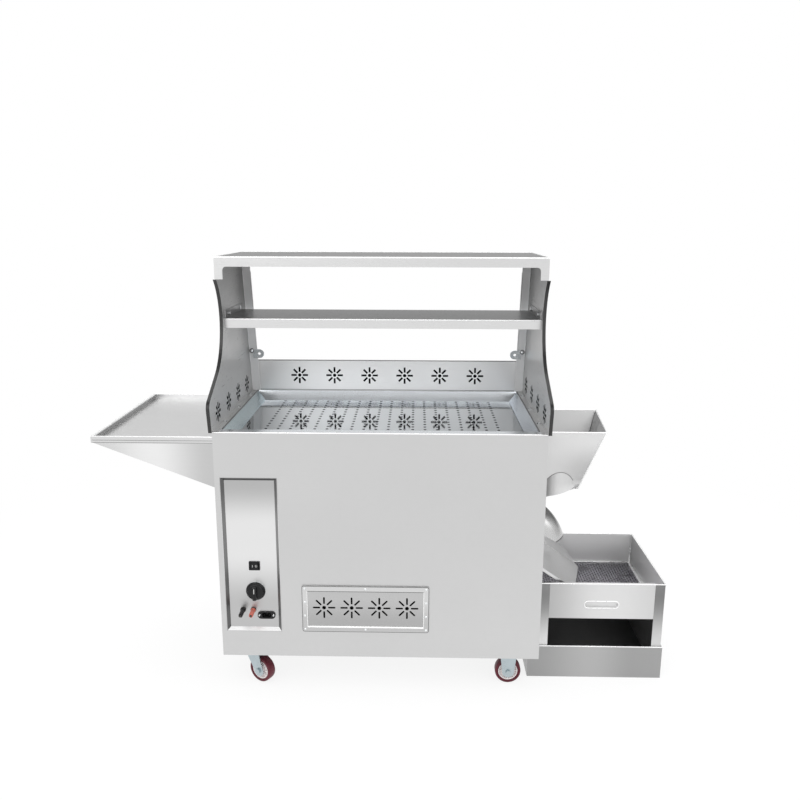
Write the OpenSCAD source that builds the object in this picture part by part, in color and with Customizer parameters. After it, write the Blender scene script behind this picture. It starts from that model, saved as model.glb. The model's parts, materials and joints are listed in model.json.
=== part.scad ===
// Chestnut roaster cart: drum roaster in a stainless cabinet, with a warming tray, a shelf hood,
// a side table, a feed hopper and a sieve stand. Millimetres, +Z up, origin on the floor below
// the middle of the whole machine, front towards -Y.

/* [Cabinet] */
// Width of the cabinet, left to right
cab_w = 900; // [860:5:960]
// Depth of the cabinet, front to rear
cab_d = 550; // [540:5:600]
// Height of the cabinet panels
cab_h = 660; // [650:5:700]
// Thickness of the stainless sheet
sheet = 1.5; // [1.2:0.1:1.8]
// Leg of the angle iron in the base frame
angle_leg = 30; // [25:1:36]
// Thickness of the angle iron
angle_t = 3; // [2.5:0.5:4]

/* [Control panel] */
// Width of the recessed control panel
recess_w = 157; // [150:1:165]
// Height of the recessed control panel
recess_h = 458; // [440:1:480]
// Left edge of the recess from the left edge of the cabinet
recess_x = 14; // [10:1:20]
// Lower edge of the recess above the cabinet bottom
recess_z = 76; // [65:1:90]
// Depth of the recess
recess_d = 8; // [6:0.5:12]
// Width of its bevelled border
recess_bevel = 10; // [8:0.5:14]
// Middle of the rocker switch from the left edge of the cabinet
switch_x = 98; // [92:1:104]
// Height of the rocker switch above the cabinet bottom
switch_z = 273; // [250:1:300]
// Width of the rocker switch bezel
switch_w = 31; // [28:0.5:34]
// Height of the rocker switch bezel
switch_h = 26; // [24:0.5:29]
// Height of the gas knob above the cabinet bottom
knob_z = 197; // [185:1:210]
// Middle of the gas knob from the left edge of the cabinet
knob_x = 99; // [92:1:105]
// Diameter of the gas knob
knob_d = 55; // [50:1:60]
// Height of the gas knob
knob_h = 28; // [24:1:32]
// Height of the battery terminals above the cabinet bottom
term_z = 139; // [134:1:144]
// Black terminal from the left edge of the cabinet
term_x = 61; // [56:1:64]
// Spacing of the two terminals
term_gap = 29; // [26:1:31]
// Reach of a terminal in front of the recess
term_l = 40; // [36:1:44]
// Height of the power inlet above the cabinet bottom
inlet_z = 123; // [119:1:127]
// Middle of the power inlet from the left edge of the cabinet
inlet_x = 127; // [124:1:130]
// Width of the power inlet flange
inlet_w = 50; // [46:1:52]
// Height of the power inlet flange
inlet_h = 22; // [20:1:24]
// Spacing of its two screws
inlet_pitch = 40; // [38:1:41]

/* [Front vent] */
// Width of the vent cover
vent_w = 355; // [340:1:370]
// Height of the vent cover
vent_h = 138; // [120:1:150]
// Middle of the vent cover, left of the cabinet middle
vent_off = 41.5; // [30:0.5:60]
// Lower edge of the vent cover above the cabinet bottom
vent_z = 80; // [70:1:95]
// Width of its raised border
vent_border = 14; // [12:1:18]
// Height of its raised border
vent_lift = 4; // [3:0.5:6]
// Number of flakes in the vent
vent_n = 4; // [3:1:4]
// Spacing of the flakes in the vent
vent_pitch = 77.7; // [72:0.1:82]
// Height of the vent's flakes above its middle
vent_flake_up = 3.5; // [0:0.5:5]
// Radius of a vent flake
vent_flake_r = 32; // [28:0.5:36]

/* [Flake cut-outs] */
// Radius of a flake in the wings and the splash back
flake_r = 27; // [22:0.5:30]
// Width of a spoke
spoke_w = 5; // [4:0.5:6]
// Start of a spoke from the middle
spoke_in = 11; // [10:0.5:13]
// Diameter of the middle hole
dot_d = 11; // [8:0.5:12]

/* [Warming tray] */
// Width of the rim at both sides
rim_side = 20; // [18:1:26]
// Width of the rim at the front
rim_front = 30; // [24:1:36]
// Width of the rim behind the tray
rim_rear = 17; // [16:1:24]
// Depth of the tray down to its plate
tray_d = 30; // [24:1:40]
// Run of the sloped walls
tray_slope = 30; // [20:1:36]
// Width of the ledge that carries the plate
ledge_w = 15; // [12:1:20]
// Thickness of the perforated plate
plate_t = 2; // [1.5:0.5:3]
// Columns of holes
hole_cols = 20; // [16:1:22]
// Rows of holes
hole_rows = 15; // [10:1:15]
// Spacing of the columns
col_pitch = 35; // [30:0.5:36]
// Spacing of the rows
row_pitch = 29; // [22:0.5:30]
// Diameter of a hole
hole_d = 6; // [4:0.5:8]

/* [Hood] */
// Top of the hood above the worktop
hood_h = 457; // [440:1:480]
// Height of the shelf rims
shelf_rim = 26; // [22:1:30]
// Front edge of the top shelf behind the cabinet front
shelf_front = 110; // [100:1:125]
// Depth of the top shelf
shelf_d = 328; // [310:1:345]
// Length of the corner tabs below the rim
tab_l = 34; // [28:1:40]
// Width of the corner tabs
tab_w = 22; // [18:1:26]
// Top of the middle shelf above the worktop
mid_z = 281; // [250:1:300]
// Front edge of the middle shelf behind the cabinet front
mid_front = 186; // [182:1:200]
// Depth of the middle shelf
mid_d = 240; // [200:1:250]
// Upturned end flange of the middle shelf
mid_flange = 22; // [18:1:28]
// Foot of the wing in front of the cabinet
wing_foot = 12; // [8:1:16]
// Nose of the wing in front of the cabinet, before rounding
wing_nose = 27; // [22:1:32]
// Height of that nose above the worktop
nose_z = 79; // [70:1:90]
// Rounding of the nose
nose_r = 25; // [15:1:30]
// Radius of the scoop in the front edge of the wing
scoop_r = 158; // [150:1:162]
// Middle of the scoop behind the cabinet front
scoop_y = 9; // [5:1:12]
// Middle of the scoop above the worktop
scoop_z = 278; // [270:1:285]
// Slope of the shoulder below the scoop
shoulder_a = 28; // [22:1:32]
// Foot of the wing's rear edge in front of the splash back
wing_rear = 5; // [2:1:12]
// Forward lean of the wing's rear edge at its top
wing_lean = 98; // [85:1:105]
// Outward lip along the wing's front edge
wing_lip = 8; // [6:1:12]
// Inward flange along the wing's rear edge
wing_flange = 25; // [20:1:30]
// Spacing of the flakes in a wing
wing_pitch = 125; // [110:1:130]
// First flake behind the cabinet front
wing_flake_y = 66; // [55:1:75]
// Height of the wing flakes above the worktop
wing_flake_z = 40; // [36:1:44]
// Height of the splash back
splash_h = 102; // [90:1:115]
// Height of the splash flakes above the worktop
splash_flake_z = 51; // [44:1:56]
// Number of flakes in the splash back
splash_n = 6; // [4:1:6]
// Spacing of the flakes in the splash back
splash_pitch = 116; // [100:1:125]
// Height of the rear lugs above the worktop
lug_z = 129; // [115:1:150]
// Spacing of the two lug holes
lug_span = 828; // [816:1:836]
// Lug hole diameter
lug_hole = 9; // [7:0.5:10]
// Thickness of a lug
lug_t = 3; // [2.5:0.5:4]
// Height of a lug
lug_h = 30; // [26:1:34]
// Length of a lug's pad on the wing's flange
lug_l = 20; // [16:1:24]

/* [Side table] */
// Length of the side table
table_l = 330; // [280:5:360]
// Depth of the side table
table_d = 526; // [500:1:530]
// Height of its rim
table_rim = 18; // [14:1:24]
// Rim of the table below the cabinet top
table_drop = 14; // [8:1:24]
// Height of its gusset at the cabinet
gusset_h = 124; // [90:1:150]

/* [Hopper] */
// Reach of the hopper rim from the cabinet, at its middle
hopper_l = 173; // [165:1:180]
// Slant of the hopper's outer wall, wider towards the rear
hopper_flare = 6; // [0:0.5:8]
// Depth of the hopper rim, front to rear
hopper_d = 256; // [240:1:270]
// Front of the hopper behind the cabinet front
hopper_y = 30; // [24:1:38]
// Height of the hopper funnel
hopper_h = 196; // [188:1:200]
// Reach of the funnel bottom from the cabinet
foot_l = 113; // [108:1:118]
// Depth of the funnel bottom
foot_d = 46; // [42:1:52]
// Outer radius of the feed pipe
pipe_r = 40; // [38:0.5:42]
// Slope of the feed pipe
pipe_a = 18; // [15:0.5:19]
// Height of the pipe axis above the funnel bottom, at its foot
pipe_up = 39; // [36:1:41]
// Reach of the feed pipe inside the cabinet
pipe_in = 40; // [36:1:46]

/* [Drum] */
// Radius of the roasting drum
drum_r = 190; // [180:1:192]
// Length of its straight shell
drum_l = 500; // [480:5:510]
// Left end of the drum, left of the cabinet middle
drum_x = 200; // [195:1:205]
// Axis of the drum behind the cabinet front
drum_y = 240; // [235:1:245]
// Axis of the drum above the cabinet bottom
drum_z = 395; // [390:1:398]
// Thickness of the drum shell
drum_t = 2; // [1.5:0.5:3]
// Length of the drum's taper
taper_l = 80; // [74:1:84]
// Radius of the drum's mouth
mouth_r = 155; // [152:1:158]
// Length of the mouth collar
mouth_l = 52; // [48:1:56]
// Radial height of the running ring on the collar
ring_h = 5; // [4:0.5:6]
// Width of the running ring
ring_w = 22; // [18:1:24]
// Number of lifting bars in the drum
lifter_n = 4; // [3:1:6]
// Height of a lifting bar
lifter_h = 38; // [30:1:45]
// Diameter of the drum shaft
shaft_d = 30; // [26:1:34]
// Radius of a support roller
roller_r = 22; // [20:0.5:24]
// Support rollers either side of the bottom
roller_a = 35; // [32:1:38]
// Diameter of a roller pin
pin_d = 10; // [8:0.5:12]

/* [Discharge] */
// Radius of the bent discharge hood
spout_r = 57; // [52:0.5:60]
// Bend radius of its middle line
spout_bend = 140; // [134:1:146]
// Middle of the bend inside the cabinet
spout_x = 89; // [84:1:94]
// Height of that middle above the cabinet bottom
spout_z = 221; // [214:1:228]
// Angle of the hood's end plane
spout_a = 18.5; // [14:0.5:22]
// Depth of the hood at its tip
spout_tip = 28.5; // [24:0.5:34]
// Height of the hood's lower edge above the cabinet bottom, at the cabinet
spout_edge = 319; // [312:1:326]
// Width of the discharge slot in the side panel
slot_w = 124; // [118:1:130]
// Height of the discharge slot
slot_up = 72; // [70:1:76]
// Upper edge of the chute above the cabinet bottom
chute_z = 237; // [232:1:240]
// Slope of the chute
chute_a = 34; // [31:0.5:35]
// Length of the chute at its rear side
chute_l = 219; // [210:1:226]
// Length of the chute at its front side
chute_near = 135; // [120:1:150]
// Width of the chute
chute_w = 280; // [260:1:284]
// Upturned front edge of the chute
chute_edge = 8; // [6:1:12]
// Rear cheek of the chute at the cabinet
chute_cheek = 40; // [34:1:46]
// Rounding of the chute's rear corner
chute_r = 20; // [15:1:28]

/* [Sieve stand] */
// Gap between the cabinet and the sieve box
sieve_gap = 10; // [8:1:14]
// Width of the sieve box
sieve_w = 360; // [350:1:370]
// Depth of the sieve box
sieve_d = 372; // [360:1:385]
// Front of the sieve box behind the cabinet front
sieve_y = 85; // [80:1:90]
// Height of the sieve box rim
sieve_h = 298; // [290:1:310]
// Width of the front posts
post_w = 28; // [24:1:34]
// Height of the sieve front panel
sieve_front_h = 110; // [100:1:112]
// Length of the pressed pull
slot_l = 100; // [80:1:120]
// Height of the pressed pull
slot_h = 22; // [18:1:26]
// Depth of the pressed pull
slot_d = 6; // [5:0.5:6.5]
// Step round the pressed pull
slot_step = 3; // [2:0.5:4]
// Folded lip round the top of the sieve box
sieve_lip = 3; // [2:0.5:3.5]
// Height of the mesh above the floor
mesh_z = 196; // [192:1:198]
// Holes across the mesh
mesh_cols = 18; // [12:1:18]
// Holes along the mesh
mesh_rows = 16; // [12:1:16]
// Side of a mesh opening
mesh_hole = 12; // [9:0.5:13]
// Height of the sand tray
sand_h = 100; // [90:1:101]
// Reach of the sand tray below the cabinet
sand_in = 19; // [12:1:22]
// Reach of the sand tray right of the box
sand_out = 4; // [3:0.5:8]

/* [Castors] */
// Height of a castor
castor_h = 105; // [103:1:110]
// Diameter of a castor wheel
wheel_d = 75; // [70:1:76]
// Width of a castor wheel
wheel_w = 28; // [24:1:30]
// Castors from the cabinet middle, along the width
castor_x = 370; // [350:1:380]
// Castors from the front and the rear of the cabinet
castor_y = 58; // [54:1:70]
// Trail of the swivel castors
trail = 25; // [20:1:28]
// Direction of the left front wheel
swivel_front = -30; // [-180:5:180]
// Direction of the left rear wheel
swivel_rear = 20; // [-180:5:180]

/* [Fits] */
// Gap between parts that move past each other
gap = 0.3; // [0.2:0.05:0.4]
// Radial clearance of a shaft in its bore
fit = 0.05; // [0.03:0.01:0.08]

/* [Hidden] */
$fn = 64;
hx = cab_w / 2;
z_base = castor_h;
z_top = z_base + cab_h;
z_work = z_top + sheet;
z_hood = z_work + hood_h;
screw_d = 7;
screw_head = 2.5;
bolt_af = 10;
bolt_head = 4;

// The machine is drawn from the cabinet: middle of its width, front plane, floor
x_min = -hx - table_l;
x_max = hx + sieve_gap + sieve_w + sand_out;
y_min = recess_d - term_l;
y_max = cab_d + screw_head;
middle = [(x_min + x_max) / 2, (y_min + y_max) / 2, 0];

// Control panel
rec_x0 = -hx + recess_x;
rec_x1 = rec_x0 + recess_w;
rec_z0 = z_base + recess_z;
rec_z1 = rec_z0 + recess_h;
switch_p = [-hx + switch_x, z_base + switch_z];
knob_p = [-hx + knob_x, z_base + knob_z];
black_p = [-hx + term_x, z_base + term_z];
red_p = black_p + [term_gap, 0];
inlet_p = [-hx + inlet_x, z_base + inlet_z];
rocker_w = switch_w - 7;
rocker_h = switch_h - 7;
rocker_back = 11;
bezel_t = 2.5;
switch_back = 24;
spindle_d = 8;
valve_r = 15;
valve_l = 50;
term_stud = 6;
term_bush = 16;
term_bush_t = 3;
term_cap_d = 14;
term_cap_l = term_l - 6;
inlet_t = 3;
inlet_back = 26;

// Front vent
vent_mid = -vent_off;
vent_mid_z = z_base + vent_z + vent_h / 2;
vent_open = vent_border + 6;
rivet_d = 7;
rivet_h = 2;

// Warming tray
well_x = hx - rim_side;
well_y0 = rim_front;
well_y1 = cab_d - rim_rear;
z_ledge = z_work - tray_d - gap;
plate_x = well_x - tray_slope - gap;
plate_y0 = well_y0 + tray_slope + gap;
plate_y1 = well_y1 - tray_slope - gap;
hole_y1 = plate_y1 - 10;

// Hood
wing_x = hx - sheet - gap;
foot_flange = wing_x - well_x - gap;
splash_y = well_y1;
rear_y0 = splash_y - wing_rear;
rear_y1 = rear_y0 - wing_lean;
z_wing = z_hood - sheet;
lean_a = atan(wing_lean / (z_wing - z_work));
scoop_c = [scoop_y, z_work + scoop_z];
wing_top_y = shelf_front + sheet + gap;
scoop_top_a = acos((wing_top_y - scoop_y) / scoop_r);
shoulder = scoop_c + scoop_r * [sin(shoulder_a), -cos(shoulder_a)];
foot = [-wing_foot, z_work];
nose = [-wing_nose, z_work + nose_z];
foot_dir = atan2(foot[1] - nose[1], foot[0] - nose[0]);
brow_dir = atan2(shoulder[1] - nose[1], shoulder[0] - nose[0]);
nose_half = (brow_dir - foot_dir) / 2;
nose_c = nose + nose_r / sin(nose_half) * [cos(foot_dir + nose_half), sin(foot_dir + nose_half)];
z_mid = z_work + mid_z;
bolt_ys = [106, 280, 454];
mid_bolt_in = 50;
mid_bolt_ys = [mid_front + mid_bolt_in, mid_front + mid_d - mid_bolt_in];
lug_inset = 12.7;
lug_end = wing_x - sheet - lug_inset;

// Side table
z_table = z_top - table_drop;
table_y = 2;

// Hopper
hop_x0 = hx;
hop_mid = hopper_y + hopper_d / 2;
hop_z0 = z_top - hopper_h;
pipe_foot = [hx + foot_l, hop_mid, hop_z0 + pipe_up];
pipe_len = (foot_l + pipe_in) / cos(pipe_a);
pipe_over = 1.5 * pipe_r;
pipe_set = 0.4;
outlet_r = foot_l / 2 - 1.9;
outlet_z = hop_z0 - 5;

// Drum and its drive
axis_y = drum_y;
axis_z = z_base + drum_z;
drum_x0 = -drum_x;
drum_x1 = drum_x0 + drum_l;
drum_x2 = drum_x1 + taper_l;
drum_x3 = drum_x2 + mouth_l;
hub_r = 34;
hub_l = 14;
ring_x = drum_x2 + 12;
ring_r = mouth_r + ring_h;
roller_c = ring_r + gap + roller_r;
bulk_t = 2;
bulk_x = drum_x0 - hub_l - 26;
bulk_y0 = sheet + angle_t;
bulk_y1 = cab_d - sheet - angle_t;
bulk_z0 = z_base + angle_t + sheet;
bulk_z1 = z_ledge - sheet - 8;
mouth_bulk_x = drum_x2 + 4;
bearing_t = 20;
bearing_r = 36;
bearing_flange = 92;
bearing_bolt = 35;
shaft_x0 = bulk_x - bulk_t - bearing_t - 22;
coupling_l = 46;
coupling_r = 27;
mount_w = 140;
mount_t = 4;
mount_post = 58;
mount_x = shaft_x0 - coupling_l + 12;
stub_d = 14;
stub_l = 30;
gearbox = 90;
gearbox_l = 58;
motor_r = 36;
motor_l = 110;
neck_r = 25;
neck_l = 12;
motor_step = 8;
motor_in = 4;

// Burner and gas
burner_h = 110;
burner_z = z_base + burner_h;
burner_r = 14;
burner_pitch = 100;
burner_ys = [axis_y - burner_pitch, axis_y, axis_y + burner_pitch];
burner_in = 50;
burner_out = 40;
burner_x0 = bulk_x + burner_in;
burner_x1 = mouth_bulk_x - burner_out;
manifold_over = 25;
saddle_in = 70;
saddle_t = 3;
saddle_over = 20;
port_n = 10;
port_d = 4;
gas_r = 6;
gas_y = 125;
gas_inlet_y = 220;
barb_l = 32;
barb_pitch = 7;
barb_h = 5;
barb_rise = 1.5;
nut_d = 22;
nut_l = 8;
supply = [150, 98, 42];
supply_x = 170;
supply_y = 160;

// Discharge
spout_c = [hx - spout_x, z_base + spout_z];
spout_end = [cos(spout_a), sin(spout_a)];
spout_room = 7;
chute_y = axis_y - chute_w / 2;
z_chute = z_base + chute_z;
chute_flange = 22;

// Sieve stand
box_x0 = hx + sieve_gap;
box_x1 = box_x0 + sieve_w;
box_y1 = sieve_y + sieve_d;
foot_z = sheet + gap;
sieve_mid = (box_x0 + box_x1) / 2;
ledge = 12;
mesh_t = 1.5;
mesh_margin = 8;
slot_z = 44;
slot_rim = 0.8;
sand_x0 = hx - sand_in;
sand_x1 = box_x1 + sand_out;
sand_gap = 2.5;
sand_y0 = sieve_y - sheet - sand_gap;
sand_y1 = box_y1 + sheet + sand_gap;
hem = 6;
hem_w = 8;

// Castors
castor_plate = [76, 64, 3];
race_r = 25;
race_h = 9;
king_d = 12;
crown_t = 3;
fork_t = 2.5;
fork_in = wheel_w + 4;
axle_d = 8;
axle_z = wheel_d / 2;
crown_z = z_base - castor_plate[2] - race_h - gap;
fork_end = 17;
fork_top = 25;
hub_d = wheel_d - 19;
castor_ys = [castor_y, cab_d - castor_y];

steel = [0.82, 0.83, 0.84];
bright = [0.90, 0.91, 0.92];
zinc = [0.68, 0.73, 0.75];
dark = [0.10, 0.10, 0.11];
iron = [0.25, 0.25, 0.26];
brass = [0.78, 0.62, 0.28];
red = [0.75, 0.10, 0.08];

// Places a piece in the frame of the whole machine
module place() translate(-middle) children();

// Sheet in the plane of the front panel, from y0 to y0 + t
module sheet_xz(y0, t) translate([0, y0 + t, 0]) rotate([90, 0, 0]) linear_extrude(t) children();

// Sheet in the plane of the side panels, from x0 to x0 + t
module sheet_yz(x0, t) translate([x0, 0, 0]) rotate([90, 0, 90]) linear_extrude(t) children();

// Block between two opposite corners
module block(a, b) translate(a) cube(b - a);

// Rectangle between two opposite corners
module rect(a, b) translate(a) square(b - a);

// Rods along X and along Y, from a point
module rod_x(p, r, l) translate(p) rotate([0, 90, 0]) cylinder(r = r, h = l);
module rod_y(p, r, l) translate(p) rotate([-90, 0, 0]) cylinder(r = r, h = l);

// Solid between a lower and an upper rectangle, each [x0, x1, y0, y1, z], its x1 side slanted by k
module frustum(lo, hi, k = 0) polyhedron(
  points = [for (r = [lo, hi]) let (e = k * (r[3] - r[2]) / 2) each
            [[r[0], r[2], r[4]], [r[1] - e, r[2], r[4]], [r[1] + e, r[3], r[4]], [r[0], r[3], r[4]]]],
  faces = [[0, 1, 2, 3], [7, 6, 5, 4], [4, 5, 1, 0], [5, 6, 2, 1], [6, 7, 3, 2], [7, 4, 0, 3]]);

// Points along an arc
function arc(c, r, a0, a1, n) =
  [for (i = [0:n]) let (a = a0 + (a1 - a0) * i / n) c + r * [cos(a), sin(a)]];

// Flake cut-out: a middle hole and eight spokes with round ends
module flake(r) {
  circle(d = dot_d);
  for (i = [0:7]) rotate(45 * i) {
    translate([spoke_in + spoke_w / 2, -spoke_w / 2]) square([r - spoke_in - spoke_w, spoke_w]);
    for (x = [spoke_in + spoke_w / 2, r - spoke_w / 2]) translate([x, 0]) circle(d = spoke_w);
  }
}

// Rectangle with round corners, about its middle
module rounded(w, h, r) {
  square([w - 2 * r, h], center = true);
  square([w, h - 2 * r], center = true);
  for (x = [-1, 1], y = [-1, 1]) translate([x * (w / 2 - r), y * (h / 2 - r)]) circle(r);
}

// Hexagon bolt head standing along +Z
module bolt() cylinder(d = bolt_af / cos(30), h = bolt_head, $fn = 6);

// Angle iron ring that carries the panels, with pads for the castors
module base_frame() place() color(iron) {
  a = [hx - sheet, sheet, z_base];
  b = [hx - sheet, cab_d - sheet, z_base];
  difference() {
    block([-a[0], a[1], z_base], [b[0], b[1], z_base + angle_leg]);
    block([-a[0] + angle_t, a[1] + angle_t, z_base + angle_t],
          [b[0] - angle_t, b[1] - angle_t, z_base + angle_leg + 1]);
    difference() {
      block([-a[0] + angle_leg, a[1] + angle_leg, z_base - 1],
            [b[0] - angle_leg, b[1] - angle_leg, z_base + angle_t + 1]);
      for (x = [-castor_x, castor_x], y = castor_ys) translate([x, y, z_base])
        cube([castor_plate[0] + 30, castor_plate[1] + 40, 3 * angle_t], center = true);
    }
  }
}

// Floor of the cabinet, lying on the angle iron
module bottom_pan() place() color(steel)
  block([-hx + sheet + angle_t + 0.5, sheet + angle_t + 0.5, z_base + angle_t],
        [hx - sheet - angle_t - 0.5, cab_d - sheet - angle_t - 0.5, z_base + angle_t + sheet]);

// Front panel with the cut-outs for the control panel and the vent
module front_panel() place() color(steel) sheet_xz(0, sheet) difference() {
  rect([-hx, z_base], [hx, z_top]);
  rect([rec_x0, rec_z0], [rec_x1, rec_z1]);
  translate([vent_mid, vent_mid_z]) square([vent_w - 2 * vent_open, vent_h - 2 * vent_open], center = true);
}

// Left side panel with the hole for the gas inlet
module left_side_panel() place() color(steel) difference() {
  block([-hx, sheet, z_base], [-hx + sheet, cab_d - sheet, z_top]);
  rod_x([-hx - 1, gas_inlet_y, knob_p[1]], gas_r + 2, sheet + 2);
}

// Right side panel with the openings for the feed pipe and the discharge
module right_side_panel() place() color(steel) difference() {
  block([hx - sheet, sheet, z_base], [hx, cab_d - sheet, z_top]);
  feed_axis() translate([0, 0, -20]) cylinder(r = pipe_r + gap, h = pipe_len + 40);
  difference() {
    spout_tube(spout_r - spout_room);
    block([0, 0, 0], [2 * hx, cab_d, z_chute + slot_up / 2]);
  }
  block([hx - sheet - 1, axis_y - slot_w / 2, z_chute], [hx + 1, axis_y + slot_w / 2, z_chute + slot_up]);
}

// Rear panel with two rows of exhaust slots
module rear_panel() place() color(steel) sheet_xz(cab_d - sheet, sheet) difference() {
  rect([-hx, z_base], [hx, z_top]);
  for (i = [-6:6], z = [z_top - 130, z_top - 170]) translate([i * 40, z]) rounded(8, 30, 3.9);
}

// Shallow pan of the control panel, with the cut-outs of its fittings
module control_recess() place() color(steel) difference() {
  rotate([90, 0, 0]) difference() {
    frustum([rec_x0 + recess_bevel - sheet, rec_x1 - recess_bevel + sheet, rec_z0 + recess_bevel - sheet,
             rec_z1 - recess_bevel + sheet, -recess_d - sheet],
            [rec_x0 + 0.1, rec_x1 - 0.1, rec_z0 + 0.1, rec_z1 - 0.1, 0]);
    frustum([rec_x0 + recess_bevel, rec_x1 - recess_bevel, rec_z0 + recess_bevel, rec_z1 - recess_bevel,
             -recess_d],
            [rec_x0 + sheet, rec_x1 - sheet, rec_z0 + sheet, rec_z1 - sheet, 0.01]);
  }
  translate([switch_p[0], recess_d, switch_p[1]]) cube([switch_w - 4, 10, switch_h - 4], center = true);
  rod_y([knob_p[0], recess_d - 1, knob_p[1]], spindle_d / 2 + 1, sheet + 2);
  for (p = [black_p, red_p]) rod_y([p[0], recess_d - 1, p[1]], term_stud / 2 + 0.5, sheet + 2);
  translate([inlet_p[0], recess_d, inlet_p[1]]) cube([inlet_w - 20, 10, inlet_h - 3], center = true);
}

// Vent cover: a plate with flakes inside a raised border
module vent_cover() place() color(bright) translate([vent_mid, 0, vent_mid_z]) difference() {
  sheet_xz(-vent_lift, vent_lift) rounded(vent_w, vent_h, 4);
  sheet_xz(-vent_lift - 1, vent_lift - sheet + 1)
    rounded(vent_w - 2 * vent_border, vent_h - 2 * vent_border, 4);
  sheet_xz(-vent_lift, vent_lift + 1) for (i = [0:vent_n - 1])
    translate([(i - (vent_n - 1) / 2) * vent_pitch, vent_flake_up]) flake(vent_flake_r);
}

// Rivets round the border of the vent cover
module vent_rivets() place() color(zinc) {
  x = vent_w / 2 - vent_border / 2;
  z = vent_h / 2 - vent_border / 2;
  for (p = [for (i = [-1:1], s = [-z, z]) [i * x, s], for (s = [-x, x], t = [-z / 3, z / 3]) [s, t]])
    translate([vent_mid + p[0], -vent_lift, vent_mid_z + p[1]]) rotate([90, 0, 0])
      cylinder(d1 = rivet_d, d2 = rivet_d / 2, h = rivet_h);
}

// Worktop with the well of the warming tray: rim, sloped walls and a ledge
module worktop_tray() place() color(bright) difference() {
  union() {
    block([-hx, 0, z_top], [hx, cab_d, z_work]);
    frustum([-plate_x - sheet, plate_x + sheet, plate_y0 - sheet, plate_y1 + sheet, z_ledge - sheet],
            [-well_x - sheet, well_x + sheet, well_y0 - sheet, well_y1 + sheet, z_top]);
  }
  frustum([-plate_x - gap, plate_x + gap, plate_y0 - gap, plate_y1 + gap, z_ledge],
          [-well_x, well_x, well_y0, well_y1, z_work + 0.01]);
  block([-plate_x + ledge_w, plate_y0 + ledge_w, z_ledge - sheet - 1],
        [plate_x - ledge_w, plate_y1 - ledge_w, z_ledge + 1]);
}

// Perforated plate that lifts out of the warming tray
module warming_plate() place() color(bright) translate([0, 0, z_ledge + gap]) linear_extrude(plate_t)
  difference() {
    rect([-plate_x, plate_y0], [plate_x, plate_y1]);
    for (i = [0:hole_cols - 1], j = [0:hole_rows - 1])
      translate([(i - (hole_cols - 1) / 2) * col_pitch, hole_y1 - j * row_pitch])
        circle(d = hole_d, $fn = 16);
  }

// Front edge of a wing from foot to top, moved inwards by o
function wing_edge(o) = concat(
  [foot + [o, 0]],
  arc(nose_c, nose_r - o, foot_dir + 270, brow_dir + 90, 8),
  arc(scoop_c, scoop_r + o, shoulder_a - 90, scoop_top_a, 24),
  [[wing_top_y + o, z_wing]]);

// Right wing: curved side sheet with a front lip, a rear flange and a foot flange
module wing() {
  sheet_yz(wing_x - sheet, sheet) difference() {
    polygon(concat(wing_edge(0), [[rear_y1, z_wing], [rear_y0, z_work]]));
    for (i = [0:3]) translate([wing_flake_y + i * wing_pitch, z_work + wing_flake_z]) flake(flake_r);
  }
  inner = wing_edge(sheet);
  sheet_yz(wing_x - sheet, sheet + wing_lip) difference() {
    polygon(concat(wing_edge(0), [for (i = [len(inner) - 1:-1:0]) inner[i]]));
    rect([0, z_hood - shelf_rim - tab_l - 1], [shelf_front + 60, z_hood]);
  }
  sheet_yz(wing_x - sheet - wing_flange, wing_flange + sheet) polygon(
    [[rear_y0 - sheet, z_work], [rear_y0, z_work], [rear_y1, z_wing], [rear_y1 - sheet, z_wing]]);
  block([wing_x - foot_flange, 0, z_work], [wing_x, rear_y0 - 2 * sheet, z_work + sheet]);
}
module right_wing() place() color(steel) wing();
module left_wing() place() color(steel) mirror([1, 0, 0]) wing();

// Splash back: upright sheet with flakes and a foot on the rear rim
module splash_back() place() color(steel) {
  sheet_xz(splash_y, sheet) difference() {
    rect([-wing_x, z_work], [wing_x, z_work + splash_h]);
    for (i = [0:splash_n - 1])
      translate([(i - (splash_n - 1) / 2) * splash_pitch, z_work + splash_flake_z]) flake(flake_r);
  }
  block([-wing_x, splash_y, z_work], [wing_x, cab_d - 1, z_work + sheet]);
  block([-wing_x, splash_y, z_work + splash_h - sheet], [wing_x, splash_y + 10, z_work + splash_h]);
}

// Top shelf: pressed sheet with a rim all round and corner tabs at the front
module top_shelf() place() color(bright) {
  w = hx;
  y1 = shelf_front + shelf_d;
  difference() {
    block([-w, shelf_front, z_hood - shelf_rim], [w, y1, z_hood]);
    block([-w + sheet, shelf_front + sheet, z_hood - shelf_rim - 1], [w - sheet, y1 - sheet, z_hood - sheet]);
  }
  sheet_xz(shelf_front, sheet) for (s = [-1, 1]) difference() {
    rect([s > 0 ? w - tab_w - 10 : -w, z_hood - shelf_rim - tab_l],
         [s > 0 ? w : -w + tab_w + 10, z_hood - shelf_rim]);
    rect([s > 0 ? w - tab_w - 11 : -w + tab_w, z_hood - shelf_rim - tab_l - 1],
         [s > 0 ? w - tab_w : -w + tab_w + 11, z_hood - shelf_rim - 10]);
    translate([s * (w - tab_w - 10), z_hood - shelf_rim - 10]) circle(10);
  }
}

// Middle shelf: plate with a front rim, a rear rim and upturned bolted ends
module middle_shelf() place() color(bright) {
  w = wing_x - sheet;
  y1 = mid_front + mid_d;
  block([-w, mid_front, z_mid - sheet], [w, y1, z_mid]);
  block([-w, mid_front, z_mid - shelf_rim], [w, mid_front + sheet, z_mid]);
  block([-w, y1 - sheet, z_mid - shelf_rim / 2], [w, y1, z_mid]);
  for (s = [-1, 1]) translate([s * (w - sheet / 2), (mid_front + y1) / 2, z_mid + mid_flange / 2])
    cube([sheet, mid_d - 20, mid_flange], center = true);
}

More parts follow.
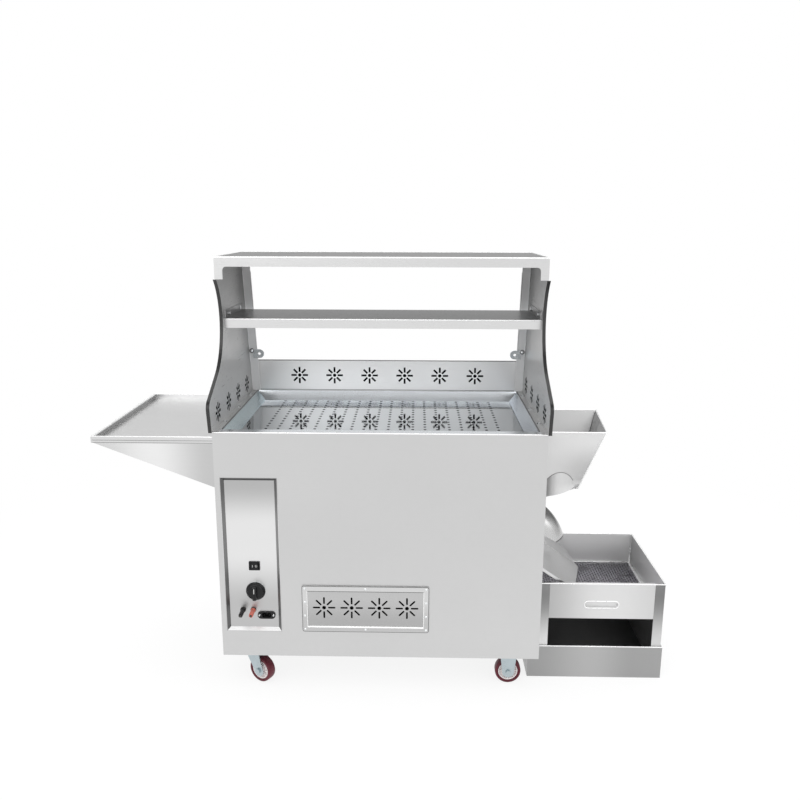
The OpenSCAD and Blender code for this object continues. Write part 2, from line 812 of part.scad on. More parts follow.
// Places children on the front face of a wing's rear flange, at lug height
module lug_face() translate([0, rear_y0 - sheet - lug_z * tan(lean_a), z_work + lug_z])
  rotate([90 + lean_a, 0, 0])
  children();

// Pair of lugs on the rear flanges: a pad on the flange, and an eye with a hole for a cross rail
module rear_lugs() place() color(zinc) for (s = [-1, 1]) lug_face() linear_extrude(lug_t) difference() {
  eye = s * lug_span / 2;
  pad = [s * (lug_end - lug_l), s * lug_end];
  x0 = min(eye, pad[0], pad[1]);
  x1 = max(eye, pad[0], pad[1]);
  union() {
    translate([eye, 0]) circle(d = lug_h);
    translate([(x0 + x1) / 2, 0]) square([x1 - x0, lug_h], center = true);
  }
  translate([eye, 0]) circle(d = lug_hole);
}

// Bolts of the wings and the middle shelf
module hood_bolts() place() color(zinc) for (s = [-1, 1]) {
  for (y = bolt_ys) translate([s * (wing_x - foot_flange / 2 - sheet / 2), y, z_work + sheet]) bolt();
  for (y = mid_bolt_ys) translate([s * (wing_x - 2 * sheet), y, z_mid + mid_flange / 2])
    rotate([0, -90 * s, 0]) bolt();
}

// Side table: shallow tray with a raised rim
module side_table() place() color(bright) difference() {
  block([x_min, table_y, z_table - table_rim], [-hx, table_y + table_d, z_table]);
  block([x_min + sheet, table_y + sheet, z_table - table_rim + sheet],
        [-hx - sheet, table_y + table_d - sheet, z_table + 1]);
}

// Folded gusset below the side table: two cheeks and a sloped floor
module table_gusset() place() color(steel) {
  z = z_table - table_rim;
  tip = x_min + 6;
  fall = gusset_h / (-hx - tip);
  skin = sheet * sqrt(1 + fall * fall);
  difference() {
    sheet_xz(table_y + 1, table_d - 2) polygon([[tip, z], [-hx, z], [-hx, z - gusset_h]]);
    sheet_xz(table_y + 1 + sheet, table_d - 2 - 2 * sheet) polygon(
      [[tip + skin / fall, z], [tip + skin / fall, z + 10], [-hx + 10, z + 10],
       [-hx + 10, z - gusset_h + skin - 10 * fall]]);
  }
}

// Axis of the feed pipe, from the hopper's foot down into the drum
module feed_axis() translate(pipe_foot) rotate([0, -90 - pipe_a, 0]) children();

// Outer wall of the hopper at height z, and half of its depth there, each moved inwards by t
function hop_wall(z, t) = hx + foot_l + (z - hop_z0) * (hopper_l - foot_l) / hopper_h - t;
function hop_half(z, t) = (foot_d + (z - hop_z0) * (hopper_d - foot_d) / hopper_h) / 2 - t;
function hop_section(z, t) =
  [hop_x0 + t, hop_wall(z, t), hop_mid - hop_half(z, t), hop_mid + hop_half(z, t), z];

// Feed pipe with radius r and length l, cut off along the hopper's outer wall and t inside it
module feed_pipe(r, l, t) intersection() {
  feed_axis() translate([0, 0, -pipe_over]) cylinder(r = r, h = l + pipe_over);
  z0 = hop_z0 - 2 * pipe_r;
  frustum([0, hop_wall(z0, t), hop_mid - 2 * pipe_r, hop_mid + 2 * pipe_r, z0],
          [0, hop_wall(z_top, t), hop_mid - 2 * pipe_r, hop_mid + 2 * pipe_r, z_top], tan(hopper_flare));
}

// Round outlet below the funnel with radius r, closed along the slope of the feed pipe and t above it
module outlet(r, t) translate([hx + foot_l / 2, hop_mid, outlet_z]) intersection() {
  translate([0, 0, -2 * pipe_r]) cylinder(r = r, h = 4 * pipe_r);
  rotate([0, -pipe_a, 0]) translate([-foot_l, -foot_l, t]) cube(2 * foot_l);
}

// Hopper: funnel with a closed back, a round outlet that swells out of its foot, and a sloped feed pipe
module hopper() place() color(steel) difference() {
  union() {
    frustum(hop_section(hop_z0, 0), hop_section(z_top, 0), tan(hopper_flare));
    feed_pipe(pipe_r, pipe_len, pipe_set);
    outlet(outlet_r, 0);
  }
  frustum(hop_section(hop_z0 + sheet, sheet), hop_section(z_top + 0.01, sheet), tan(hopper_flare));
  feed_pipe(pipe_r - sheet, pipe_len + 1, pipe_set + sheet);
  outlet(outlet_r - sheet, sheet);
}

// Bent tube of the discharge, with a tube radius r
module spout_tube(r) translate([spout_c[0], axis_y, spout_c[1]]) rotate([90, 0, 0]) rotate_extrude()
  translate([spout_bend, 0]) circle(r);

// Discharge hood: upper half of a bent tube, over the opening of the drum
module discharge_hood() place() color(steel) intersection() {
  difference() {
    spout_tube(spout_r);
    spout_tube(spout_r - sheet);
  }
  low = spout_c + (spout_bend + spout_r - spout_tip) * spout_end;
  high = spout_c + (spout_bend + 2 * spout_r) * spout_end;
  sheet_xz(axis_y - spout_r - 1, 2 * spout_r + 2) polygon(
    [[hx, z_base + spout_edge], low, high, [high[0], z_top], [hx, z_top]]);
}

// Chute into the sieve box: a slanted end, a low front edge and a tapered rear cheek
module discharge_chute() place() color(steel) {
  w = chute_w / 2;
  back = sheet * tan(chute_a);
  slant = atan((chute_l - chute_near) / chute_w);
  corner = [chute_l - chute_r * tan(slant) - chute_r / cos(slant), w - chute_r];
  cheek_l = corner[0] - back;
  block([hx, chute_y, z_chute - chute_flange], [hx + sheet, chute_y + chute_w, z_chute]);
  translate([hx, axis_y, z_chute]) rotate([0, chute_a, 0]) translate([0, 0, -sheet]) {
    linear_extrude(sheet) polygon(concat(
      [[back, -w], [chute_near, -w]], arc(corner, chute_r, -slant, 90, 6), [[back, w]]));
    translate([back, -w, 0]) cube([chute_near - back, sheet, chute_edge]);
    translate([back, w, 0]) rotate([90, 0, 0]) linear_extrude(sheet) polygon(concat([[cheek_l, 0], [0, 0]],
      [for (i = [0:8]) [cheek_l * i / 8, chute_edge + (chute_cheek - chute_edge) * (1 - i * i / 64)]]));
  }
}

// Partition between the drive and the roasting chamber
module drum_bulkhead() place() color(steel) difference() {
  block([bulk_x - bulk_t, bulk_y0, bulk_z0], [bulk_x, bulk_y1, bulk_z1]);
  rod_x([bulk_x - bulk_t - 1, axis_y, axis_z], shaft_d / 2 + 5, bulk_t + 2);
  rod_x([bulk_x - bulk_t - 1, gas_y, burner_z], gas_r + gap, bulk_t + 2);
}

// Partition round the drum's mouth, which carries the rollers
module mouth_bulkhead() place() color(steel) difference() {
  block([mouth_bulk_x, bulk_y0, bulk_z0], [mouth_bulk_x + bulk_t, bulk_y1, bulk_z1]);
  rod_x([mouth_bulk_x - 1, axis_y, axis_z], ring_r + 8, bulk_t + 2);
}

// Roasting drum: shell, taper, mouth collar with its ring, hub and lifting bars
module drum() place() color(iron) {
  translate([0, axis_y, axis_z]) rotate([0, 90, 0]) {
    rotate_extrude($fn = 96) polygon([
      [shaft_d / 2 + fit, drum_x0 - hub_l], [hub_r, drum_x0 - hub_l], [hub_r, drum_x0], [drum_r, drum_x0],
      [drum_r, drum_x1], [mouth_r, drum_x2], [mouth_r, ring_x], [ring_r, ring_x], [ring_r, ring_x + ring_w],
      [mouth_r, ring_x + ring_w], [mouth_r, drum_x3],
      [mouth_r - drum_t, drum_x3], [mouth_r - drum_t, drum_x2],
      [drum_r - drum_t, drum_x1 - 1], [drum_r - drum_t, drum_x0 + drum_t],
      [shaft_d / 2 + fit, drum_x0 + drum_t]]);
    for (i = [0:lifter_n - 1]) rotate(360 * i / lifter_n)
      translate([drum_r - drum_t / 2 - lifter_h, -drum_t, drum_x0 + drum_t / 2])
        cube([lifter_h, 2 * drum_t, drum_l - 20]);
  }
}

// Shaft that carries the closed end of the drum
module drum_shaft() place() color(zinc)
  rod_x([shaft_x0, axis_y, axis_z], shaft_d / 2, drum_x0 + drum_t - shaft_x0);

// Flange bearing on the bulkhead
module drum_bearing() place() color(iron) {
  difference() {
    union() {
      translate([bulk_x - bulk_t, axis_y, axis_z]) rotate([0, -90, 0]) linear_extrude(8)
        rounded(bearing_flange, bearing_flange, 14);
      rod_x([bulk_x - bulk_t - bearing_t, axis_y, axis_z], bearing_r, bearing_t);
    }
    rod_x([bulk_x - bulk_t - bearing_t - 1, axis_y, axis_z], shaft_d / 2 + fit, bearing_t + 2);
  }
  for (y = [-1, 1], z = [-1, 1])
    translate([bulk_x - bulk_t - 8, axis_y + y * bearing_bolt, axis_z + z * bearing_bolt])
      rotate([0, -90, 0]) bolt();
}

// Coupling between the drum shaft and the gear motor, with its stub
module shaft_coupling() place() color(zinc) {
  x0 = shaft_x0 - coupling_l + 20;
  difference() {
    rod_x([x0, axis_y, axis_z], coupling_r, coupling_l);
    rod_x([shaft_x0, axis_y, axis_z], shaft_d / 2 + fit, coupling_l);
  }
  rod_x([x0 - stub_l, axis_y, axis_z], stub_d / 2, stub_l + 1);
}

// Plate on four posts that carries the gear motor off the bulkhead
module motor_mount() place() color(iron) {
  difference() {
    translate([mount_x - mount_t, axis_y, axis_z]) rotate([0, 90, 0]) linear_extrude(mount_t)
      rounded(mount_w, mount_w, 10);
    rod_x([mount_x - mount_t - 1, axis_y, axis_z], coupling_r + 4, mount_t + 2);
  }
  for (y = [-1, 1], z = [-1, 1])
    rod_x([mount_x, axis_y + y * mount_post, axis_z + z * mount_post], 7, bulk_x - bulk_t - mount_x);
}

// Worm gear motor: gearbox, motor can and end cap
module gear_motor() place() color(dark) difference() {
  union() {
    x1 = mount_x - mount_t;
    block([x1 - gearbox_l, axis_y - gearbox / 2, axis_z - gearbox / 2],
          [x1, axis_y + gearbox / 2, axis_z + gearbox / 2]);
    rod_y([x1 - gearbox_l / 2, axis_y + gearbox / 2 - 1, axis_z], neck_r, neck_l);
    rod_y([x1 - motor_r - motor_in, axis_y + gearbox / 2 + motor_step, axis_z], motor_r, motor_l);
  }
  rod_x([mount_x - mount_t - gearbox_l + 8, axis_y, axis_z], stub_d / 2 + fit, gearbox_l);
}

// Support roller below the drum's ring, on the side s
module roller(s)
  translate([ring_x + gap, axis_y + s * roller_c * sin(roller_a), axis_z - roller_c * cos(roller_a)])
  rotate([0, 90, 0]) rotate_extrude() polygon([
    [pin_d / 2 + fit, 0], [roller_r - 2, 0], [roller_r, 2], [roller_r, ring_w - 2 * gap - 2],
    [roller_r - 2, ring_w - 2 * gap], [pin_d / 2 + fit, ring_w - 2 * gap]]);
module front_roller() place() color(zinc) roller(-1);
module rear_roller() place() color(zinc) roller(1);

// Pins of the support rollers, standing on the mouth partition
module roller_pins() place() color(zinc) for (s = [-1, 1]) {
  p = [mouth_bulk_x + bulk_t, axis_y + s * roller_c * sin(roller_a), axis_z - roller_c * cos(roller_a)];
  rod_x(p, pin_d / 2, ring_x + ring_w + gap - p[0]);
  rod_x(p, pin_d / 2 + 3, ring_x - gap - p[0]);
  rod_x([ring_x + ring_w + gap, p[1], p[2]], pin_d / 2 + 3, 3);
}

// Burner: three ported tubes on a manifold, with two saddles on the cabinet floor
module burner() place() color(iron) {
  difference() {
    union() {
      for (y = burner_ys) rod_x([burner_x0, y, burner_z], burner_r, burner_x1 - burner_x0);
      rod_y([burner_x0, burner_ys[0] - manifold_over, burner_z], burner_r + 2,
            burner_ys[2] - burner_ys[0] + 2 * manifold_over);
      for (x = [burner_x0 + saddle_in, burner_x1 - saddle_in])
        block([x, burner_ys[0] - saddle_over, bulk_z0], [x + saddle_t, burner_ys[2] + saddle_over, burner_z]);
    }
    for (y = burner_ys, i = [1:port_n])
      translate([burner_x0 + i * (burner_x1 - burner_x0) / (port_n + 1), y, burner_z])
        cylinder(d = port_d, h = burner_r + 1);
  }
}

// Gas pipe from the valve down and through the bulkhead to the manifold
module gas_pipe() place() color(brass) {
  z0 = knob_p[1] - valve_r;
  y0 = recess_d + sheet + valve_l / 2;
  x1 = burner_x0 - burner_r - 2;
  translate([knob_p[0], y0, burner_z]) cylinder(r = gas_r, h = z0 - burner_z);
  translate([knob_p[0], y0, burner_z]) sphere(gas_r);
  rod_y([knob_p[0], y0, burner_z], gas_r, gas_y - y0);
  translate([knob_p[0], gas_y, burner_z]) sphere(gas_r);
  rod_x([knob_p[0], gas_y, burner_z], gas_r, x1 - knob_p[0]);
}

// Gas valve behind the control panel
module gas_valve() place() color(brass) difference() {
  union() {
    rod_y([knob_p[0], recess_d + sheet, knob_p[1]], valve_r, valve_l);
    rod_y([knob_p[0], recess_d + sheet, knob_p[1]], valve_r + 5, 4);
    translate([knob_p[0], recess_d + sheet + valve_l / 2, knob_p[1] - valve_r])
      cylinder(r = gas_r + 4, h = valve_r);
  }
  rod_y([knob_p[0], recess_d, knob_p[1]], spindle_d / 2 + fit, 30);
}

// Gas inlet: pipe from the valve to a hose barb on the left side
module gas_inlet() place() color(brass) {
  y0 = recess_d + sheet + valve_l;
  z = knob_p[1];
  rod_y([knob_p[0], y0, z], gas_r, gas_inlet_y - y0);
  translate([knob_p[0], gas_inlet_y, z]) sphere(gas_r);
  rod_x([-hx - barb_l, gas_inlet_y, z], gas_r, knob_p[0] + hx + barb_l);
  translate([-hx - nut_l, gas_inlet_y, z]) rotate([0, 90, 0]) cylinder(d = nut_d, h = nut_l, $fn = 6);
  for (i = [0:2]) translate([-hx - barb_l + 5 + i * barb_pitch, gas_inlet_y, z]) rotate([0, 90, 0])
    cylinder(r1 = gas_r, r2 = gas_r + barb_rise, h = barb_h);
}

// Spindle between the valve and the knob
module valve_spindle() place() color(zinc)
  rod_y([knob_p[0], recess_d - knob_h + 8, knob_p[1]], spindle_d / 2, knob_h + sheet + 14);

// Gas knob: skirt, domed body and a grip bar
module gas_knob() place() color(dark) translate([knob_p[0], recess_d - gap, knob_p[1]]) rotate([90, 0, 0])
  difference() {
    union() {
      rotate_extrude() polygon(concat([[0, 0], [knob_d / 2, 0], [knob_d / 2, 5]],
        arc([knob_d / 2 - 8, 5], 6, 0, 90, 6), [[0, 11 + 3]]));
      intersection() {
        translate([-knob_d / 7, -knob_d / 2, 0]) cube([2 * knob_d / 7, knob_d, knob_h]);
        rotate_extrude() polygon(concat([[0, 0], [knob_d / 2 - 3, 0]],
          arc([knob_d / 2 - 15, knob_h - 12], 12, 0, 90, 6), [[0, knob_h]]));
      }
    }
    translate([0, 0, -1]) cylinder(d = spindle_d + 2 * fit, h = knob_h - 6);
  }

// Housing of the rocker switch
module switch_housing() place() color(dark) translate([switch_p[0], recess_d, switch_p[1]]) difference() {
  union() {
    sheet_xz(-bezel_t, bezel_t) rounded(switch_w, switch_h, 2);
    translate([0, switch_back / 2, 0]) cube([switch_w - 4.5, switch_back, switch_h - 4.5], center = true);
  }
  translate([0, (rocker_back + 3 - bezel_t - 1) / 2, 0])
    cube([rocker_w + 2 * gap, rocker_back + 3 + bezel_t + 1, rocker_h + 2 * gap], center = true);
}

// Rocker of the switch, tipping about an upright axis
module switch_rocker() place() color(iron)
  translate([switch_p[0], recess_d, switch_p[1] - rocker_h / 2]) linear_extrude(rocker_h) {
  e = rocker_w / 2 - 1.6;
  polygon([[-e, -bezel_t - 2.5], [0, -bezel_t - 0.5], [e, -bezel_t - 2.5], [e, 3], [4, rocker_back - 2],
           [-4, rocker_back - 2], [-e, 3]]);
}

// Studs and insulating bushes of the battery terminals
module terminal_studs() place() color(zinc) for (p = [black_p, red_p]) {
  rod_y([p[0], recess_d - term_l, p[1]], term_stud / 2, term_l + 14);
  rod_y([p[0], recess_d - term_bush_t, p[1]], term_bush / 2, term_bush_t);
  rod_y([p[0], recess_d + sheet, p[1]], term_bush / 2, term_bush_t);
}

// Screw cap of a battery terminal with a fluted grip
module terminal_cap(p) translate([p[0], recess_d - term_bush_t - gap, p[1]]) rotate([90, 0, 0]) difference() {
  union() {
    cylinder(d = term_cap_d, h = 4);
    cylinder(d = term_cap_d - 2, h = term_cap_l);
  }
  for (i = [0:7]) rotate(45 * i) translate([term_cap_d / 2 - 0.5, 0, 6]) cylinder(d = 3, h = term_cap_l);
  translate([0, 0, -1]) cylinder(d = term_stud + 2 * fit, h = term_cap_l + 2);
}
module black_terminal_cap() place() color(dark) terminal_cap(black_p);
module red_terminal_cap() place() color(red) terminal_cap(red_p);

// Power inlet: flange with a socket and three blades
module power_inlet() place() color(dark) translate([inlet_p[0], recess_d, inlet_p[1]]) {
  difference() {
    union() {
      sheet_xz(-inlet_t, inlet_t) rounded(inlet_w, inlet_h, inlet_h / 2 - 1);
      sheet_xz(0, inlet_back) rounded(inlet_w - 21, inlet_h - 4, 3);
    }
    sheet_xz(-inlet_t - 1, 19) rounded(inlet_w - 25, inlet_h - 7, 4);
  }
  for (x = [-7, 0, 7]) translate([x - 1, 3, x == 0 ? 0 : -4]) cube([2, 15, 4]);
}

// Pan head screws of the power inlet and the rear panel, all alike
module screw() cylinder(d1 = screw_d, d2 = screw_d - 3, h = screw_head);
module panel_screws() place() color(zinc) {
  for (s = [-1, 1]) translate([inlet_p[0] + s * inlet_pitch / 2, recess_d - inlet_t, inlet_p[1]])
    rotate([90, 0, 0]) screw();
  for (x = [-hx + 18, 0, hx - 18], z = [z_base + 15, z_base + cab_h / 2, z_top - 15])
    translate([x, cab_d, z]) rotate([-90, 0, 0]) screw();
}

// Power supply on the cabinet floor behind the control panel
module power_supply() place() color(zinc)
  translate([bulk_x - bulk_t - supply_x, cab_d - supply_y, bulk_z0]) cube(supply);

// Sand tray below the sieve box, open at the top
module sand_tray() place() color(steel) {
  difference() {
    block([sand_x0, sand_y0, 0], [sand_x1, sand_y1, sand_h]);
    block([sand_x0 + sheet, sand_y0 + sheet, sheet], [sand_x1 - sheet, sand_y1 - sheet, sand_h + 1]);
  }
  block([sand_x0, sand_y0 - 0.8, sand_h - hem], [sand_x1, sand_y0, sand_h]);
}

// Sieve box: right and rear walls with a folded lip, a low left wall, front posts and a ledge for the mesh
module sieve_frame() place() color(steel) {
  block([box_x1 - sheet, sieve_y, foot_z], [box_x1, box_y1, sieve_h]);
  block([box_x0, box_y1 - sheet, foot_z], [box_x1, box_y1, sieve_h]);
  block([box_x1, sieve_y, sieve_h - sieve_lip], [box_x1 + sieve_lip, box_y1 + sieve_lip, sieve_h]);
  block([box_x0, box_y1, sieve_h - sieve_lip], [box_x1, box_y1 + sieve_lip, sieve_h]);
  block([box_x0, sieve_y, foot_z], [box_x0 + sheet, box_y1, mesh_z + 6]);
  block([box_x0, sieve_y, foot_z], [box_x0 + post_w, sieve_y + sheet, sieve_h - sheet]);
  block([box_x1 - post_w, sieve_y, foot_z], [box_x1, sieve_y + sheet, sieve_h]);
  block([box_x0, box_y1 - ledge, mesh_z - sheet], [box_x1, box_y1, mesh_z]);
  for (x = [box_x0, box_x1 - ledge]) block([x, sieve_y, mesh_z - sheet], [x + ledge, box_y1, mesh_z]);
}

// Front panel of the sieve box: folded edges, the upper one over the left post, and a pressed pull
module sieve_front() place() color(bright) {
  x0 = box_x0 + post_w + gap;
  x1 = box_x1 - post_w - gap;
  z0 = sieve_h - sieve_front_h;
  difference() {
    union() {
      block([x0, sieve_y, z0], [x1, sieve_y + sheet, sieve_h]);
      pull(sieve_y + sheet / 2, slot_d + sheet / 2, 0);
    }
    pull(sieve_y - 1, 1 + slot_rim, slot_step / 3);
    pull(sieve_y - 1, 1 + slot_d, slot_step);
  }
  block([box_x0, sieve_y, sieve_h - sheet], [x1, sieve_y + hem_w, sieve_h]);
  block([x0, sieve_y, z0], [x1, sieve_y + hem_w, z0 + sheet]);
}

// Oblong of the pull, from y0 over a depth d, its outline moved inwards by t
module pull(y0, d, t) sheet_xz(y0, d) translate([sieve_mid, sieve_h - sieve_front_h + slot_z])
  rounded(slot_l - 2 * t, slot_h - 2 * t, slot_h / 2 - t - 0.1);

// Perforated sieve plate on the ledges of the box
module sieve_mesh() place() color(zinc) translate([0, 0, mesh_z]) linear_extrude(mesh_t) {
  x0 = box_x0 + sheet + 0.5;
  x1 = box_x1 - sheet - 0.5;
  y0 = sieve_y + 9;
  y1 = box_y1 - sheet - 0.5;
  px = (x1 - x0 - 2 * mesh_margin) / mesh_cols;
  py = (y1 - y0 - 2 * mesh_margin) / mesh_rows;
  difference() {
    rect([x0, y0], [x1, y1]);
    for (i = [0:mesh_cols - 1], j = [0:mesh_rows - 1])
      translate([x0 + mesh_margin + (i + 0.5) * px, y0 + mesh_margin + (j + 0.5) * py])
        rotate(45) square(mesh_hole, center = true);
  }
}

// Top plates and races of the swivel castors
module swivel_plates() place() color(zinc) for (y = castor_ys) translate([-castor_x, y, 0]) difference() {
  union() {
    translate([0, 0, z_base - castor_plate[2]]) linear_extrude(castor_plate[2])
      rounded(castor_plate[0], castor_plate[1], 8);
    translate([0, 0, crown_z + gap]) cylinder(r = race_r, h = race_h);
  }
  translate([0, 0, crown_z]) cylinder(d = king_d + 2 * fit, h = race_h + 1);
}

// Cheek of a fork: tapered plate with a round end, its axle at x = t
module cheek(t, top) difference() {
  union() {
    translate([t, axle_z]) circle(fork_end);
    polygon([[t - fork_end, axle_z], [t + fork_end, axle_z], [fork_top, top], [-fork_top, top]]);
  }
  translate([t, axle_z]) circle(d = axle_d + 2 * fit);
}

// Axle bolt across a fork, with head and nut
module axle(t) translate([t, 0, axle_z]) rotate([90, 0, 0]) {
  translate([0, 0, -fork_in / 2 - fork_t]) cylinder(d = axle_d, h = fork_in + 2 * fork_t);
  for (s = [-1, 1]) translate([0, 0, s > 0 ? fork_in / 2 + fork_t : -fork_in / 2 - fork_t - 5])
    cylinder(d = 13 / cos(30), h = 5, $fn = 6);
}

// Two cheeks either side of a wheel
module cheeks(t, top) for (y = [-fork_in / 2 - fork_t, fork_in / 2])
  sheet_xz(y, fork_t) cheek(t, top);

// Swivel fork with its king pin and axle
module swivel_fork(y, a) translate([-castor_x, y, 0]) rotate(a) {
  cheeks(trail, crown_z);
  block([-fork_top, -fork_in / 2 - fork_t, crown_z - crown_t], [fork_top, fork_in / 2 + fork_t, crown_z]);
  translate([0, 0, crown_z - crown_t]) cylinder(d = king_d, h = crown_t + race_h - 1);
  axle(trail);
}
module left_front_fork() place() color(zinc) swivel_fork(castor_ys[0], swivel_front);
module left_rear_fork() place() color(zinc) swivel_fork(castor_ys[1], swivel_rear);

// Brackets and axles of the rigid castors
module rigid_brackets() place() color(zinc) for (y = castor_ys) translate([castor_x, y, 0]) {
  translate([0, 0, z_base - castor_plate[2]]) linear_extrude(castor_plate[2])
    rounded(castor_plate[0], castor_plate[1], 8);
  cheeks(0, z_base - castor_plate[2]);
  axle(0);
}

// Castor wheel: hub with a raised boss, and a tyre with round shoulders
module wheel() rotate([90, 0, 0]) {
  color(bright) rotate_extrude() polygon([
    [axle_d / 2 + fit, -fork_in / 2 + gap], [11, -fork_in / 2 + gap], [12, -6],
    [hub_d / 2 - 5, -6], [hub_d / 2 - 3, -wheel_w / 2 + 2],
    [hub_d / 2, -wheel_w / 2 + 2], [hub_d / 2, wheel_w / 2 - 2],
    [hub_d / 2 - 3, wheel_w / 2 - 2], [hub_d / 2 - 5, 6],
    [12, 6], [11, fork_in / 2 - gap], [axle_d / 2 + fit, fork_in / 2 - gap]]);
  color(red) rotate_extrude() polygon(concat(
    [[hub_d / 2, -wheel_w / 2]], arc([wheel_d / 2 - 5, -wheel_w / 2 + 5], 5, -90, 0, 5),
    arc([wheel_d / 2 - 5, wheel_w / 2 - 5], 5, 0, 90, 5), [[hub_d / 2, wheel_w / 2]]));
}
module swivel_wheel(y, a) translate([-castor_x, y, axle_z]) rotate(a) translate([trail, 0, 0]) wheel();
module left_front_wheel() place() swivel_wheel(castor_ys[0], swivel_front);
module left_rear_wheel() place() swivel_wheel(castor_ys[1], swivel_rear);
module right_front_wheel() place() translate([castor_x, castor_ys[0], axle_z]) wheel();
module right_rear_wheel() place() translate([castor_x, castor_ys[1], axle_z]) wheel();

base_frame();
bottom_pan();
front_panel();
left_side_panel();
right_side_panel();
rear_panel();
control_recess();
vent_cover();
vent_rivets();
worktop_tray();
warming_plate();
left_wing();
right_wing();
splash_back();
top_shelf();
middle_shelf();
rear_lugs();
hood_bolts();
side_table();
table_gusset();
hopper();
discharge_hood();
discharge_chute();
drum_bulkhead();
mouth_bulkhead();
drum();
drum_shaft();
drum_bearing();
shaft_coupling();
motor_mount();
gear_motor();
front_roller();
rear_roller();
roller_pins();
burner();
gas_pipe();
gas_valve();
gas_inlet();
valve_spindle();
gas_knob();
switch_housing();
switch_rocker();
terminal_studs();
black_terminal_cap();
red_terminal_cap();
power_inlet();
panel_screws();
power_supply();
sand_tray();
sieve_frame();
sieve_front();
sieve_mesh();
swivel_plates();
left_front_fork();
left_rear_fork();
rigid_brackets();
left_front_wheel();
left_rear_wheel();
right_front_wheel();
right_rear_wheel();
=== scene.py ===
# %% [markdown]
# # A stainless chestnut roaster cart
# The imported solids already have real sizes, so this lesson is about what the eye adds: a camera that stands
# where the photographer stood, soft studio light, sheet-metal finishes, and the small trim that a sheet-metal
# shop leaves behind, such as hems, rivets, wire mesh and castor wheels.

# %% Load the frame
import json
import math

import bmesh
import bpy
from mathutils import Matrix, Vector


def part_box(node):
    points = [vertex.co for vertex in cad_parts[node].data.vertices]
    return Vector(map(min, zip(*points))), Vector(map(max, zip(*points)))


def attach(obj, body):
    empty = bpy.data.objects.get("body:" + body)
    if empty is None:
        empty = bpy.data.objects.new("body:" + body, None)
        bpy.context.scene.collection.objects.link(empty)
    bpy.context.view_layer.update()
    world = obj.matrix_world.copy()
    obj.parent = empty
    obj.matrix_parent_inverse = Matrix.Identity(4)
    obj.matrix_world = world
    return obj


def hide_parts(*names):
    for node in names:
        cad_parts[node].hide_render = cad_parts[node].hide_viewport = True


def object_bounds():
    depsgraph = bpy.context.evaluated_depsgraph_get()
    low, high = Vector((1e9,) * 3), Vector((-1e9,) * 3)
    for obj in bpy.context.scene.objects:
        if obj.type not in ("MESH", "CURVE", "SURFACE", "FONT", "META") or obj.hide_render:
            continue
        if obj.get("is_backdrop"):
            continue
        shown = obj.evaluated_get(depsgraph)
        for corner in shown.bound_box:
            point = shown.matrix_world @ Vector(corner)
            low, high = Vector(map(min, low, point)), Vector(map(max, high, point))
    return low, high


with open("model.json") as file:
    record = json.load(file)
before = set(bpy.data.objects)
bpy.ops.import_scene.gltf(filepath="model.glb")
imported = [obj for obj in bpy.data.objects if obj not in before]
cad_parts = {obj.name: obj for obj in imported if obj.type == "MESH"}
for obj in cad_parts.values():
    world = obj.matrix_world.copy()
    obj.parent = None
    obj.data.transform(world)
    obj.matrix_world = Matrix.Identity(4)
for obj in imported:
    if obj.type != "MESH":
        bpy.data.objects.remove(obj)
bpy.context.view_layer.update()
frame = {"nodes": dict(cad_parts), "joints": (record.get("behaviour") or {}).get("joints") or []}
nodes = frame["nodes"]
joints = {joint["name"]: joint for joint in frame["joints"]}
scene = bpy.context.scene
scene.view_settings.view_transform = "Standard"

# %% [markdown]
# ## Camera
# A product shot is easiest to match when the camera is solved from straight edges. The cabinet's edges gave
# a focal length of 789.6 pixels on a frame of 800, a camera 1.33 m above the floor and a tilt of 13 degrees.
# The three axes of the camera are written out and put in one matrix, so no angle order can go wrong.

# %% Camera
FOCAL_PIXELS = 789.6
FRAME_PIXELS = 800
CAMERA_PLACE = (0.075, -2.28925, 1.3283)
yaw = math.radians(-1.21)
pitch = math.radians(13.04)
roll = math.radians(0.13)
ahead = Vector((math.sin(yaw) * math.cos(pitch), math.cos(yaw) * math.cos(pitch), -math.sin(pitch)))
level = Vector((math.cos(yaw), -math.sin(yaw), 0.0))
above = level.cross(ahead)
right = math.cos(roll) * level + math.sin(roll) * above
upward = -math.sin(roll) * level + math.cos(roll) * above
camera_data = bpy.data.cameras.new("photo_camera")
camera_data.sensor_width = 36.0
camera_data.lens = camera_data.sensor_width * FOCAL_PIXELS / FRAME_PIXELS
camera = bpy.data.objects.new("photo_camera", camera_data)
scene.collection.objects.link(camera)
turn = Matrix((right, upward, -ahead)).transposed().to_4x4()
camera.matrix_world = Matrix.Translation(CAMERA_PLACE) @ turn
scene.camera = camera
print("camera lens", round(camera_data.lens, 2), "mm")

# %% [markdown]
# ## Studio
# Stainless steel shows its surroundings more than itself, so the room is built with the same care as the
# lamps. The floor is white to the camera and to mirror rays, which keeps the upright sheets light. Close to
# the machine it takes a part of its light from the lamps, so a soft shadow stays, and further away that part
# fades out. The world is white to the camera, and its front half is a pale wall for every other ray too. The
# rear half has a grey band low down, which the shelves and the wings mirror. The lamps are wide and weak, so
# that they mirror softly. Seen low from behind, parts of the polished plate and of the top shelf still burn
# out to white.

# %% Node helpers
def math_node(tree, operation, *sources):
    """Math node over sockets or numbers."""
    node = tree.nodes.new("ShaderNodeMath")
    node.operation = operation
    for socket, source in zip(node.inputs, sources):
        if isinstance(source, bpy.types.NodeSocket):
            tree.links.new(source, socket)
        else:
            socket.default_value = source
    return node.outputs[0]


def span(tree, source, low, high, to_low, to_high):
    """Map Range node from a source socket, clamped."""
    node = tree.nodes.new("ShaderNodeMapRange")
    node.inputs["From Min"].default_value = low
    node.inputs["From Max"].default_value = high
    node.inputs["To Min"].default_value = to_low
    node.inputs["To Max"].default_value = to_high
    tree.links.new(source, node.inputs["Value"])
    return node.outputs[0]


